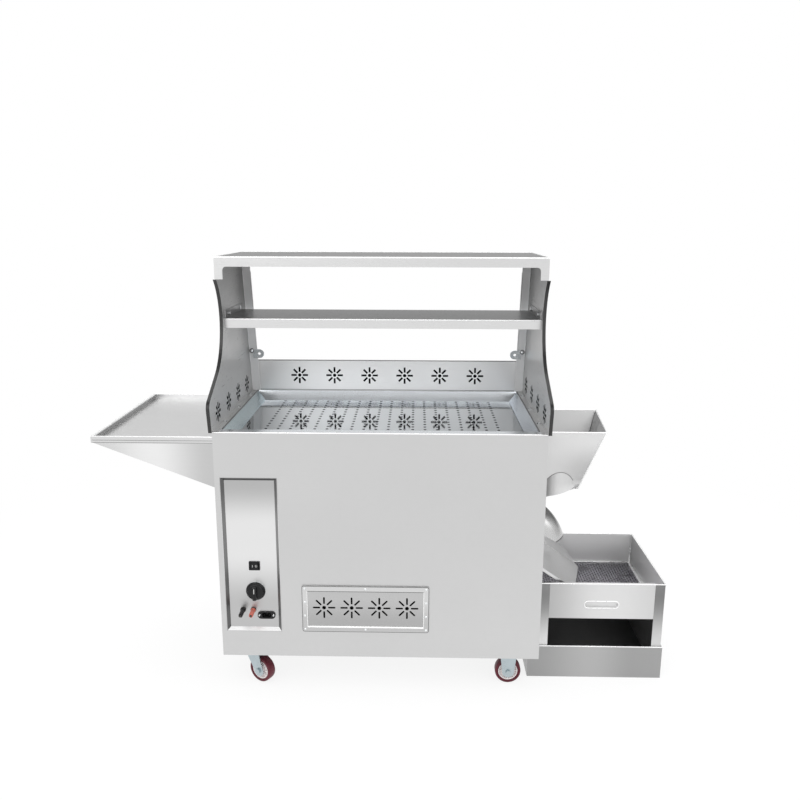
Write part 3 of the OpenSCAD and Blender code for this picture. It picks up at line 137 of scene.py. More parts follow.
print("node helpers:", math_node.__name__, span.__name__)

# %% Floor
FLOOR_REACH = 14.0
SHADOW_NEAR = 0.8
SHADOW_FAR = 2.2
GLOW_NEAR = 0.84
floor_mesh = bpy.data.meshes.new("studio_floor")
floor_form = bmesh.new()
bmesh.ops.create_grid(floor_form, x_segments=2, y_segments=2, size=FLOOR_REACH)
floor_form.to_mesh(floor_mesh)
floor_form.free()
floor = bpy.data.objects.new("studio_floor", floor_mesh)
scene.collection.objects.link(floor)
floor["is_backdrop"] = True
floor_paint = bpy.data.materials.new("studio_floor_paint")
floor_paint.use_nodes = True
tree = floor_paint.node_tree
tree.nodes["Principled BSDF"].inputs["Base Color"].default_value = (0.93, 0.93, 0.93, 1)
tree.nodes["Principled BSDF"].inputs["Roughness"].default_value = 0.9
glow = tree.nodes.new("ShaderNodeEmission")
glow.inputs["Color"].default_value = (1, 1, 1, 1)
path = tree.nodes.new("ShaderNodeLightPath")
seen = math_node(tree, "MAXIMUM", path.outputs["Is Camera Ray"], path.outputs["Is Glossy Ray"])
seen = math_node(tree, "MAXIMUM", seen, path.outputs["Is Transmission Ray"])
coords = tree.nodes.new("ShaderNodeTexCoord")
reach = tree.nodes.new("ShaderNodeVectorMath")
reach.operation = "LENGTH"
tree.links.new(coords.outputs["Object"], reach.inputs[0])
glow_share = span(tree, reach.outputs["Value"], SHADOW_NEAR, SHADOW_FAR, GLOW_NEAR, 1.0)
share = math_node(tree, "MULTIPLY", seen, glow_share)
blend = tree.nodes.new("ShaderNodeMixShader")
tree.links.new(share, blend.inputs[0])
tree.links.new(tree.nodes["Principled BSDF"].outputs[0], blend.inputs[1])
tree.links.new(glow.outputs[0], blend.inputs[2])
tree.links.new(blend.outputs[0], tree.nodes["Material Output"].inputs["Surface"])
floor_mesh.materials.append(floor_paint)
print("floor is", floor.dimensions.x, "m wide")

# %% World
SKY_BAND = ((0.49, 0.50), (0.51, 0.34), (0.56, 0.30), (0.61, 0.78), (0.68, 0.90))
WALL_WHITE = 0.94
world = bpy.data.worlds.new("studio_world")
scene.world = world
world.use_nodes = True
tree = world.node_tree
background = tree.nodes["Background"]
coords = tree.nodes.new("ShaderNodeTexCoord")
split = tree.nodes.new("ShaderNodeSeparateXYZ")
tree.links.new(coords.outputs["Generated"], split.inputs[0])
sky = tree.nodes.new("ShaderNodeValToRGB")
sky.color_ramp.elements[0].color = (0.72, 0.72, 0.72, 1)
sky.color_ramp.elements[1].color = (0.95, 0.95, 0.95, 1)
for place, tone in SKY_BAND:
    sky.color_ramp.elements.new(place).color = (tone, tone, tone, 1)
tree.links.new(span(tree, split.outputs["Z"], -1.0, 1.0, 0.0, 1.0), sky.inputs[0])
path = tree.nodes.new("ShaderNodeLightPath")
choose = tree.nodes.new("ShaderNodeMix")
choose.data_type = "RGBA"
front_wall = span(tree, split.outputs["Y"], 0.7, -0.7, 0.0, WALL_WHITE)
white = math_node(tree, "MAXIMUM", path.outputs["Is Camera Ray"], front_wall)
tree.links.new(white, choose.inputs["Factor"])
tree.links.new(sky.outputs[0], choose.inputs["A"])
choose.inputs["B"].default_value = (1, 1, 1, 1)
tree.links.new(choose.outputs["Result"], background.inputs["Color"])
print("world band steps:", len(SKY_BAND))

# %% Lamps
def soft_lamp(name, place, target, size, watts):
    """Square area lamp at a place, aimed at a target."""
    data = bpy.data.lights.new(name, "AREA")
    data.size = size
    data.energy = watts
    lamp = bpy.data.objects.new(name, data)
    lamp.location = place
    lamp.rotation_mode = "QUATERNION"
    lamp.rotation_quaternion = (Vector(target) - Vector(place)).to_track_quat("-Z", "Y")
    scene.collection.objects.link(lamp)
    return lamp


soft_lamp("key_lamp", (-1.6, -2.6, 3.0), (0.0, 0.0, 0.6), 3.6, 45)
soft_lamp("fill_lamp", (2.4, -1.8, 2.2), (0.2, 0.0, 0.5), 2.6, 22)
soft_lamp("top_lamp", (0.1, 0.5, 3.4), (0.0, 0.1, 0.7), 3.0, 30)

# %% [markdown]
# ## Shared surface effects
# Every sheet on the machine shows fine brush lines from the mill and faint clouds left by wiping hands. On
# top of these, light and shade are painted into the colour: a tone that slowly changes along the sheet, and a
# darker or lighter tone on the faces that look one way. Each effect is one node group, placed in the finishes
# with its own values.

# %% Group helpers
def new_group(name, inputs, outputs):
    """Empty shader group with its sockets."""
    group = bpy.data.node_groups.new(name, "ShaderNodeTree")
    for label, kind, value in inputs:
        group.interface.new_socket(name=label, in_out="INPUT", socket_type=kind).default_value = value
    for label, kind in outputs:
        group.interface.new_socket(name=label, in_out="OUTPUT", socket_type=kind)
    return group, group.nodes.new("NodeGroupInput"), group.nodes.new("NodeGroupOutput")


def noise(group, vector, scale, detail, rough):
    """Noise texture over a vector socket."""
    node = group.nodes.new("ShaderNodeTexNoise")
    group.links.new(vector, node.inputs["Vector"])
    node.inputs["Detail"].default_value = detail
    node.inputs["Roughness"].default_value = rough
    if isinstance(scale, bpy.types.NodeSocket):
        group.links.new(scale, node.inputs["Scale"])
    else:
        node.inputs["Scale"].default_value = scale
    return node.outputs["Fac"]


def vector_node(group, operation, first, second):
    """Vector math over two sockets."""
    node = group.nodes.new("ShaderNodeVectorMath")
    node.operation = operation
    group.links.new(first, node.inputs[0])
    group.links.new(second, node.inputs[1])
    return node


print("group helpers:", new_group.__name__, noise.__name__, vector_node.__name__)

# %% Brush lines, wiped clouds and grain
brush_lines, start, end = new_group(
    "brush_lines", [("Stretch", "NodeSocketVector", (5.0, 5.0, 900.0))], [("Lines", "NodeSocketFloat")])
place = brush_lines.nodes.new("ShaderNodeTexCoord")
drawn = vector_node(brush_lines, "MULTIPLY", place.outputs["Object"], start.outputs["Stretch"])
strokes = noise(brush_lines, drawn.outputs[0], 1.0, 5.0, 0.65)
brush_lines.links.new(span(brush_lines, strokes, 0.3, 0.7, 0.0, 1.0), end.inputs["Lines"])

wiped_clouds, start, end = new_group(
    "wiped_clouds", [("Scale", "NodeSocketFloat", 4.0)],
    [("Cloud", "NodeSocketFloat"), ("Smear", "NodeSocketFloat")])
place = wiped_clouds.nodes.new("ShaderNodeTexCoord")
clouds = noise(wiped_clouds, place.outputs["Object"], start.outputs["Scale"], 3.0, 0.5)
wiped_clouds.links.new(span(wiped_clouds, clouds, 0.35, 0.65, 0.0, 1.0), end.inputs["Cloud"])
smears = noise(wiped_clouds, place.outputs["Object"], 42.0, 6.0, 0.6)
wiped_clouds.links.new(span(wiped_clouds, smears, 0.45, 0.7, 0.0, 1.0), end.inputs["Smear"])

grain_specks, start, end = new_group(
    "grain_specks", [("Scale", "NodeSocketFloat", 300.0)],
    [("Speck", "NodeSocketFloat"), ("Patch", "NodeSocketFloat")])
place = grain_specks.nodes.new("ShaderNodeTexCoord")
cells = grain_specks.nodes.new("ShaderNodeTexVoronoi")
grain_specks.links.new(place.outputs["Object"], cells.inputs["Vector"])
grain_specks.links.new(start.outputs["Scale"], cells.inputs["Scale"])
grain_specks.links.new(span(grain_specks, cells.outputs["Distance"], 0.0, 0.7, 0.0, 1.0), end.inputs["Speck"])
patches = noise(grain_specks, place.outputs["Object"], 25.0, 5.0, 0.5)
grain_specks.links.new(span(grain_specks, patches, 0.35, 0.65, 0.0, 1.0), end.inputs["Patch"])
print("groups:", [g.name for g in bpy.data.node_groups])

# %% Slow fade and facing
# Masks that place painted light and shade: a slow fade along an axis, and the faces that look one way.
slow_fade, start, end = new_group(
    "slow_fade", [("Axis", "NodeSocketVector", (0, 0, 1)), ("Low", "NodeSocketFloat", 0.0),
                  ("High", "NodeSocketFloat", 1.0)], [("Mask", "NodeSocketFloat")])
place = slow_fade.nodes.new("ShaderNodeTexCoord")
along = vector_node(slow_fade, "DOT_PRODUCT", place.outputs["Object"], start.outputs["Axis"])
ramp = slow_fade.nodes.new("ShaderNodeMapRange")
ramp.interpolation_type = "SMOOTHSTEP"
slow_fade.links.new(along.outputs["Value"], ramp.inputs["Value"])
slow_fade.links.new(start.outputs["Low"], ramp.inputs["From Min"])
slow_fade.links.new(start.outputs["High"], ramp.inputs["From Max"])
slow_fade.links.new(ramp.outputs[0], end.inputs["Mask"])

faces_one_way, start, end = new_group(
    "faces_one_way", [("Way", "NodeSocketVector", (0, 0, 1))], [("Mask", "NodeSocketFloat")])
place = faces_one_way.nodes.new("ShaderNodeTexCoord")
along = vector_node(faces_one_way, "DOT_PRODUCT", place.outputs["Normal"], start.outputs["Way"])
faces_one_way.links.new(span(faces_one_way, along.outputs["Value"], 0.40, 0.60, 0.0, 1.0), end.inputs["Mask"])
print("groups:", len(bpy.data.node_groups))

# %% [markdown]
# ## Sheet steel
# One function makes every stainless finish. It takes the steel's colour, its roughness and the direction of
# its brush lines: upright panels carry lines along the floor, flat ones along the width, side sheets along
# the depth. The lines move the roughness and a very low bump, and with the clouds they move the colour by a
# few per cent. Painted light multiplies the colour where all its layers meet, such as the painted dark line
# on the front lip of a wing. It paints in dark mirror images, highlights and slow fades of shade that this
# room doesn't cast by itself, so they stay in the steel under any other light. Finely scratched sheets look
# paler and less like a mirror, so a finish can be less metallic as a whole, or not at all where its matt
# layers meet.

# %% Finish helpers
def new_finish(name):
    """Material with its node tree and its Principled shader."""
    finish = bpy.data.materials.new(name)
    finish.use_nodes = True
    return finish, finish.node_tree, finish.node_tree.nodes["Principled BSDF"]


def place_group(tree, group, **values):
    """Group node in a tree, with values set by socket name."""
    node = tree.nodes.new("ShaderNodeGroup")
    node.node_tree = group
    for label, value in values.items():
        node.inputs[label].default_value = value
    return node


def mix_colour(tree, mask, low, high, mode="MIX"):
    """Colour that goes from low to high with a mask; each may be a socket or three numbers."""
    node = tree.nodes.new("ShaderNodeMix")
    node.data_type = "RGBA"
    node.blend_type = mode
    tree.links.new(mask, node.inputs["Factor"])
    for label, colour in (("A", low), ("B", high)):
        if isinstance(colour, bpy.types.NodeSocket):
            tree.links.new(colour, node.inputs[label])
        else:
            node.inputs[label].default_value = (*colour, 1)
    return node.outputs["Result"]


def bump(tree, height, distance, strength=1.0):
    """Bump node over a height socket, its distance in metres."""
    node = tree.nodes.new("ShaderNodeBump")
    node.inputs["Distance"].default_value = distance
    node.inputs["Strength"].default_value = strength
    tree.links.new(height, node.inputs["Height"])
    return node.outputs["Normal"]


def shade(colour, share):
    """Colour times a share."""
    return tuple(c * share for c in colour)


def meeting(tree, layers):
    """Mask of the place where all the layers of one tone of painted light meet."""
    mask = None
    for group, values in layers:
        layer = place_group(tree, group, **values).outputs["Mask"]
        mask = layer if mask is None else math_node(tree, "MULTIPLY", mask, layer)
    return mask


def with_painted_light(tree, tone, painted_light):
    """Tone multiplied by the colour of each painted light where its layers meet: below one it paints shade,
    above one a highlight.
    """
    for colour, *layers in painted_light:
        tone = mix_colour(tree, meeting(tree, layers), tone, colour, "MULTIPLY")
    return tone


print("finish helpers:", place_group.__name__, mix_colour.__name__, bump.__name__, with_painted_light.__name__)

# %% One finish for every sheet
LINE_DEPTH = 0.000005
UPRIGHT = (5.0, 5.0, 900.0)
FLAT = (5.0, 900.0, 900.0)
DEEP = (900.0, 5.0, 900.0)


def sheet_finish(name, colour, rough, stretch=UPRIGHT, painted_light=(), metal=1.0, matt=()):
    """Brushed stainless sheet with painted light and shade; less metal makes it paler, and it has none where
    the matt layers meet.
    """
    finish, tree, shader = new_finish(name)
    lines = place_group(tree, brush_lines, Stretch=stretch)
    wiped = place_group(tree, wiped_clouds, Scale=3.0)
    clouded = mix_colour(tree, wiped.outputs["Cloud"], shade(colour, 0.955), colour)
    lined = mix_colour(tree, lines.outputs["Lines"], shade(colour, 0.96), clouded)
    tree.links.new(with_painted_light(tree, lined, painted_light), shader.inputs["Base Color"])
    shader.inputs["Metallic"].default_value = metal
    if matt:
        tree.links.new(span(tree, meeting(tree, matt), 0, 1, metal, 0.0), shader.inputs["Metallic"])
    grain = span(tree, lines.outputs["Lines"], 0, 1, 0.85 * rough, 1.15 * rough)
    touched = span(tree, wiped.outputs["Smear"], 0, 1, 0.0, 0.15 * rough)
    tree.links.new(math_node(tree, "ADD", grain, touched), shader.inputs["Roughness"])
    tree.links.new(bump(tree, lines.outputs["Lines"], LINE_DEPTH, 0.35), shader.inputs["Normal"])
    return finish


print("brush lines run", UPRIGHT, FLAT, DEEP)

# %% Layers of painted light
def fade(axis, low, high):
    """Layer of painted light that grows along an axis from low to high, in metres."""
    return slow_fade, {"Axis": axis, "Low": low, "High": high}


def facing(way):
    """Layer of painted light that lies on the faces that look one way."""
    return faces_one_way, {"Way": way}


def grey(share):
    """Neutral colour of painted light: below one a shade, above one a highlight."""
    return share, share, share


FRONT = (0, -1, 0)
REAR = (0, 1, 0)
LEFT = (-1, 0, 0)
RIGHT = (1, 0, 0)
TOP = (0, 0, 1)
DOWN = (0, 0, -1)
print("ways:", FRONT, REAR, LEFT, RIGHT, TOP, DOWN)

# %% Finishes of the cabinet and the hood
panel_steel = sheet_finish("panel_steel", grey(0.66), 0.40)
# Painted shade in the control recess: darker towards its top and its bottom, and dark on its sloped sides.
recess_steel = sheet_finish("recess_steel", grey(0.84), 0.36, UPRIGHT, [
    (grey(0.60), fade(TOP, 0.50, 0.62)), (grey(0.66), fade(DOWN, -0.42, -0.26)),
    (grey(0.26), facing(DOWN)), (grey(0.28), facing(RIGHT)), (grey(0.40), facing(LEFT))])
# Painted light on the vent cover: darker towards its bottom, and a painted highlight on its foremost face.
cover_steel = sheet_finish("cover_steel", grey(0.56), 0.32, UPRIGHT, [
    (grey(0.82), fade(DOWN, -0.29, -0.21)), (grey(1.25), fade(FRONT, 0.2622, 0.2638))])
# Painted light on the wings: inner faces darker towards the top, painted dark lines on the front lip and the
# top edge, and a painted highlight that makes the rear flange pale and matt.
wing_steel = sheet_finish("wing_steel", grey(0.50), 0.30, DEEP, [
    (grey(0.36), facing(RIGHT), fade(TOP, 0.80, 1.20)), (grey(0.36), facing(LEFT), fade(TOP, 0.80, 1.20)),
    (grey(0.08), facing(FRONT), fade(FRONT, 0.0, 0.1)), (grey(0.10), facing(TOP), fade(TOP, 0.775, 0.785)),
    (grey(1.90), facing(FRONT), fade(REAR, 0.10, 0.14))], 0.5, [facing(FRONT), fade(REAR, 0.10, 0.14)])
# Painted shade on the shelves: dark tops as painted dark reflections, slightly darker fronts, and dark ends
# on the middle shelf.
shelf_steel = sheet_finish("shelf_steel", grey(0.84), 0.30, FLAT, [
    (grey(0.32), facing(TOP)), (grey(0.86), facing(FRONT))])
ledge_steel = sheet_finish("ledge_steel", grey(0.84), 0.30, FLAT, [
    (grey(0.25), facing(TOP)), (grey(0.88), facing(FRONT)),
    (grey(0.22), facing(LEFT)), (grey(0.22), facing(RIGHT))])
# Painted shade on the splash back: darker towards both ends.
splash_steel = sheet_finish("splash_steel", grey(0.98), 0.32, FLAT, [
    (grey(0.82), fade(RIGHT, 0.15, 0.42)), (grey(0.82), fade(LEFT, 0.20, 0.47))], metal=0.6)
# Painted bluish shade on the side walls of the worktop tray.
rim_steel = sheet_finish("rim_steel", (0.78, 0.81, 0.84), 0.22, FLAT, [
    ((0.48, 0.55, 0.56), facing(RIGHT)), ((0.46, 0.48, 0.51), facing(LEFT))])
# Painted shade, nearly black, on the walls of the plate's holes.
plate_steel = sheet_finish("plate_steel", (0.55, 0.575, 0.595), 0.05, FLAT, [
    (grey(0.02), facing(way)) for way in (FRONT, REAR, LEFT, RIGHT)])
print("cabinet finishes:", sum(m.name.endswith("_steel") for m in bpy.data.materials))

# %% Finishes of the table, the hopper and the sieve stand
# Painted light on the side table: darker on the faces that look right, slightly lighter on front faces
# towards the rear.
table_steel = sheet_finish("table_steel", grey(0.72), 0.34, FLAT, [
    (grey(0.55), facing(RIGHT)), (grey(1.08), facing(FRONT), fade(REAR, 0.1, 0.2))])
# Painted shade on the gusset: darker towards both ends.
gusset_steel = sheet_finish("gusset_steel", grey(0.88), 0.36, UPRIGHT, [
    (grey(0.68), fade(RIGHT, -0.63, -0.48)), (grey(0.80), fade(LEFT, 0.64, 0.78))])
# Painted shade on the hopper: darker towards the rear and on the faces that look left, and darker low on the
# right of its front.
hopper_steel = sheet_finish("hopper_steel", grey(0.72), 0.34, DEEP, [
    (grey(0.66), fade(REAR, -0.11, -0.09)), (grey(0.60), facing(LEFT)),
    (grey(0.72), facing(FRONT), fade(RIGHT, 0.44, 0.56), fade(DOWN, -0.74, -0.64), fade(TOP, 0.57, 0.60))],
    metal=0.6)
# Painted shade on the discharge hood: dark on its upward faces and towards its top, and a dark line at its
# open end.
hood_steel = sheet_finish("hood_steel", grey(0.60), 0.26, DEEP, [
    (grey(0.34), facing(TOP)), (grey(0.50), fade(TOP, 0.43, 0.50)),
    (grey(0.20), fade((0.317, 0, -0.948), -0.2066, -0.2036))])
chute_steel = sheet_finish("chute_steel", grey(0.72), 0.32, DEEP)
# Painted shade on the sieve box: its front darker towards the right and the bottom, some front faces very
# dark between 0.10 m and 0.27 m high, and its walls darker towards the rear, low down and on the outer sides.
sieve_steel = sheet_finish("sieve_steel", grey(0.97), 0.34, UPRIGHT, [
    (grey(0.80), facing(FRONT), fade(RIGHT, 0.44, 0.78)),
    (grey(0.74), facing(FRONT), fade(DOWN, -0.29, -0.20)),
    (grey(0.46), facing(LEFT), fade(REAR, -0.14, 0.17)),
    (grey(0.24), facing(FRONT), fade(FRONT, 0.15, 0.16), fade(TOP, 0.10, 0.27)),
    (grey(0.48), facing(FRONT), fade(REAR, 0.0, 0.1), fade(DOWN, -0.195, -0.185)),
    (grey(0.14), facing(LEFT), fade(RIGHT, 0.6, 0.7), fade(DOWN, -0.195, -0.185)),
    (grey(0.70), facing(RIGHT), fade(RIGHT, 0.6, 0.7)),
    (grey(0.70), facing(REAR), fade(REAR, 0.0, 0.1))], metal=0.35)
# Painted shade on the front of the sieve box: darker towards both ends.
front_steel = sheet_finish("front_steel", grey(0.72), 0.34, UPRIGHT, [
    (grey(0.66), fade(LEFT, -0.62, -0.45)), (grey(0.86), fade(RIGHT, 0.66, 0.80))], metal=0.8)
# Painted shade on the sand tray: darker towards both ends, and very dark inside under the sieve.
tray_steel = sheet_finish("tray_steel", grey(0.48), 0.36, UPRIGHT, [
    (grey(0.74), fade(LEFT, -0.60, -0.42)), (grey(0.80), fade(RIGHT, 0.60, 0.72)),
    (grey(0.25), fade(REAR, -0.17, -0.16), facing(TOP)),
    (grey(0.25), fade(REAR, -0.17, -0.16), facing(FRONT))])
print("sheet finishes:", sum(m.name.endswith("_steel") for m in bpy.data.materials))

# %% [markdown]
# ## Zinc, iron, brass and plastics
# The castors and fasteners are zinc plated: a bluish grey with tiny crystals. The drum, burner and frame are
# dark iron that heat has stained in patches. The plastics get a fine mould grain, so that none is one colour.

# %% Other finishes
def speck_finish(name, colour, rough, metal, scale, contrast=0.12, depth=0.00005, shine=0.5):
    """Finish with fine cells and soft patches, for plated metal, iron and plastic."""
    finish, tree, shader = new_finish(name)
    specks = place_group(tree, grain_specks, Scale=scale)
    patched = mix_colour(tree, specks.outputs["Patch"], shade(colour, 1 - contrast), colour)
    tinted = mix_colour(tree, specks.outputs["Speck"], shade(colour, 1 - contrast / 2), patched)
    tree.links.new(tinted, shader.inputs["Base Color"])
    shader.inputs["Metallic"].default_value = metal
    shader.inputs["Specular IOR Level"].default_value = shine
    spread = span(tree, specks.outputs["Patch"], 0, 1, rough - 0.05, rough + 0.06)
    tree.links.new(spread, shader.inputs["Roughness"])
    tree.links.new(bump(tree, specks.outputs["Speck"], depth, 0.4), shader.inputs["Normal"])
    return finish


FINE = 0.000002
hem_steel = speck_finish("hem_steel", grey(0.96), 0.26, 0.6, 300.0, 0.04, FINE)
# Matt white on the flange folds: a painted highlight that draws them as bright lines.
fold_highlight_steel = speck_finish("fold_highlight_steel", grey(0.96), 0.30, 0.0, 300.0, 0.04, FINE)
seam_steel = speck_finish("seam_steel", grey(0.16), 0.40, 0.8, 300.0, 0.1, FINE)
zinc_plate = speck_finish("zinc_plate", (0.50, 0.57, 0.60), 0.30, 1.0, 420.0)
bright_zinc = speck_finish("bright_zinc", (0.86, 0.88, 0.89), 0.22, 1.0, 420.0, 0.08)
dark_iron = speck_finish("dark_iron", (0.10, 0.095, 0.09), 0.55, 0.85, 260.0, 0.35, 0.0001)
motor_paint = speck_finish("motor_paint", (0.03, 0.034, 0.038), 0.45, 0.0, 500.0, 0.2)
plain_brass = speck_finish("plain_brass", (0.62, 0.42, 0.13), 0.32, 1.0, 380.0)
black_gloss = speck_finish("black_gloss", (0.010, 0.010, 0.011), 0.18, 0.0, 700.0, 0.3, 0.00002, 0.25)
black_matt = speck_finish("black_matt", (0.014, 0.014, 0.015), 0.5, 0.0, 900.0, 0.3, shine=0.25)
red_cap_plastic = speck_finish("red_cap_plastic", (0.55, 0.14, 0.10), 0.3, 0.0, 600.0, 0.18)
tyre_rubber = speck_finish("tyre_rubber", (0.125, 0.018, 0.030), 0.40, 0.0, 500.0, 0.3, shine=0.3)
wheel_core = speck_finish("wheel_core", (0.84, 0.79, 0.79), 0.42, 0.0, 600.0, 0.12)
white_mark = speck_finish("white_mark", (0.55, 0.55, 0.54), 0.45, 0.0, 800.0, 0.08)
sieve_wire = speck_finish("sieve_wire", (0.62, 0.60, 0.66), 0.30, 1.0, 500.0, 0.3)
# Black for painted shade: behind the flakes, round their spokes and in the rims of the plate's holes.
painted_shade_black = speck_finish("painted_shade_black", (0.008, 0.008, 0.009), 0.7, 0.0, 900.0, 0.4, shine=0.0)
print("finishes:", len(bpy.data.materials))

# %% [markdown]
# ## Finishes on the solids
# The solids keep their shapes and only change their finish. A table of node names makes it easy to see that
# every solid has one.

# %% Dress the solids
WHEELS = ["left_front_wheel", "left_rear_wheel", "right_front_wheel", "right_rear_wheel"]
FINISH_OF = {
    panel_steel: ["front_panel", "left_side_panel", "right_side_panel", "rear_panel", "drum_bulkhead",
                  "mouth_bulkhead", "bottom_pan"],
    recess_steel: ["control_recess"],
    wing_steel: ["left_wing", "right_wing"],
    shelf_steel: ["top_shelf"],
    ledge_steel: ["middle_shelf"],
    splash_steel: ["splash_back"],
    cover_steel: ["vent_cover"],
    rim_steel: ["worktop_tray"],
    plate_steel: ["warming_plate"],
    table_steel: ["side_table"],
    gusset_steel: ["table_gusset"],
    hopper_steel: ["hopper"],
    hood_steel: ["discharge_hood"],
    chute_steel: ["discharge_chute"],
    sieve_steel: ["sieve_frame"],
    front_steel: ["sieve_front"],
    tray_steel: ["sand_tray"],
    bright_zinc: ["vent_rivets", "hood_bolts", "panel_screws", "rear_lugs"],
    zinc_plate: ["drum_shaft", "shaft_coupling", "front_roller", "rear_roller", "roller_pins",
                 "valve_spindle", "power_supply", "swivel_plates", "left_front_fork",
                 "left_rear_fork", "rigid_brackets"],
    dark_iron: ["base_frame", "drum", "drum_bearing", "motor_mount", "burner", "terminal_studs"],
    motor_paint: ["gear_motor"],
    plain_brass: ["gas_pipe", "gas_valve", "gas_inlet"],
    black_gloss: ["gas_knob", "switch_rocker", "black_terminal_cap"],
    black_matt: ["switch_housing", "power_inlet"],
    red_cap_plastic: ["red_terminal_cap"],
    tyre_rubber: WHEELS,
    sieve_wire: ["sieve_mesh"],
}
dressed = set()
for finish, names in FINISH_OF.items():
    for name in names:
        for slot in nodes[name].material_slots:
            slot.material = finish
        dressed.add(name)
print("dressed", len(dressed), "of", len(nodes), "solids; left:", sorted(set(nodes) - dressed))

# %% [markdown]
# ## Tools for the trim
# Three small tools make all the trim. The bar follows corner points: its ring of points slides along each
# stretch until it meets the mitre at the next corner, so no corner twists or thins. The lathe turns a
# profile. The slab is a block with softened edges. Each form ends in the same function, which names it,
# shades it and lets it ride on its body.

# %% Bar
panel_low, panel_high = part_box("front_panel")
ORIGIN = Vector(((panel_low[0] + panel_high[0]) / 2, panel_low[1], 0.0))


def at(x, y, z):
    """Point in millimetres from the cabinet's middle, its front face and the floor."""
    return ORIGIN + Vector((x, y, z)) / 1000


def bar(form, points, radius, sides=8, closed=False):
    """Round bar through corner points in metres, with mitred corners."""
    ways = [(b - a).normalized() for a, b in zip(points, points[1:] + points[:1])]
    if not closed:
        ways[-1] = ways[-2]
    side = ways[0].orthogonal().normalized()
    other = ways[0].cross(side)
    angles = [2 * math.pi * k / sides for k in range(sides)]
    ring = [points[0] + radius * (math.cos(a) * side + math.sin(a) * other) for a in angles]
    rings = []
    for i, corner in enumerate(points):
        way = ways[max(i - 1, 0)]
        mitre = (ways[i] + (ways[i - 1] if closed or i > 0 else ways[0])).normalized()
        ring = [p + way * ((corner - p).dot(mitre) / way.dot(mitre)) for p in ring]
        rings.append([form.verts.new(p) for p in ring])
    for first, second in zip(rings, rings[1:] + (rings[:1] if closed else [])):
        for k in range(sides):
            form.faces.new((first[k - 1], first[k], second[k], second[k - 1]))
    if not closed:
        form.faces.new(rings[0])
        form.faces.new(rings[-1])


print("front face starts at", [round(v, 4) for v in ORIGIN])

# %% Lathe and slab
def lathe(form, profile, place, steps=40, finish=0):
    """Closed profile of (radius, height) points in millimetres, turned about the Z axis of a place."""
    rings = []
    for k in range(steps):
        a = 2 * math.pi * k / steps
        ring = [Vector((r * math.cos(a), r * math.sin(a), z)) / 1000 for r, z in profile]
        rings.append([form.verts.new(place @ p) for p in ring])
    for first, second in zip(rings, rings[1:] + rings[:1]):
        for i in range(len(profile)):
            face = form.faces.new((first[i - 1], first[i], second[i], second[i - 1]))
            face.material_index = finish


def slab(form, low, high, soft=0.0004, place=None, finish=0):
    """Block between two corners in metres, with softened edges."""
    size = Matrix.Diagonal((*(high - low), 1.0))
    block = Matrix.Translation((low + high) / 2) @ size
    made = bmesh.ops.create_cube(form, size=1.0, matrix=place @ block if place else block)
    edges = list({edge for vert in made["verts"] for edge in vert.link_edges})
    for face in {face for vert in made["verts"] for face in vert.link_faces}:
        face.material_index = finish
    bmesh.ops.bevel(form, geom=edges, offset=soft, segments=2, profile=0.5, affect="EDGES", material=-1)


print("forms:", bar.__name__, lathe.__name__, slab.__name__)

# %% Keeping a form
SHARP_ANGLE = math.radians(38)


def keep(name, form, body, slot, *finishes):
    """Object from a form, with its finishes, riding on a body."""
    bmesh.ops.remove_doubles(form, verts=form.verts, dist=1e-6)
    bmesh.ops.recalc_face_normals(form, faces=form.faces)
    mesh = bpy.data.meshes.new(name)
    form.to_mesh(mesh)
    form.free()
    mesh.shade_smooth()
    mesh.set_sharp_from_angle(angle=SHARP_ANGLE)
    for finish in finishes:
        mesh.materials.append(finish)
    piece = bpy.data.objects.new(name, mesh)
    scene.collection.objects.link(piece)
    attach(piece, body)
    return piece


print("edges sharper than", round(math.degrees(SHARP_ANGLE)), "degrees stay sharp")

# %% [markdown]
# ## Hems
# A cut sheet is sharp, so a shop folds or rolls its free edges. A rolled hem is a thin tube along the rim,
# and it is what draws the bright line round each tray, shelf and funnel in the picture. Most rims are found
# on the solids: the box of a node gives the straight ones, and its highest corners the skewed rim of the
# funnel. The leaning flanges are given by their corner points. Where two sheets meet, the same tube in a dark
# finish draws the seam between them.

# %% Hem tools
def hem(name, body, finish, radius, points, closed=False):
    """Rolled hem along a rim."""
    form = bmesh.new()
    bar(form, [Vector(p) for p in points], radius, 10, closed)
    return keep(name, form, body, "bright_stainless", finish)


def rim_from_above(node):
    """Four corners of a node's highest rim, from its rear left corner round to its front left one."""
    spots = [vert.co for vert in nodes[node].data.vertices]
    top = max(spot.z for spot in spots)
    rim = [spot for spot in spots if top - spot.z < 0.0003]
    ways = [(-1, 1), (1, 1), (1, -1), (-1, -1)]
    return [max(rim, key=lambda spot: x * spot.x + y * spot.y) for x, y in ways]


def drawn_in(points, inset):
    """Corner points moved towards their middle."""
    middle = sum(points, Vector()) / len(points)
    return [point - inset * (point - middle).normalized() for point in points]


print("hopper rim:", [round(v, 3) for v in rim_from_above("hopper")[0]])

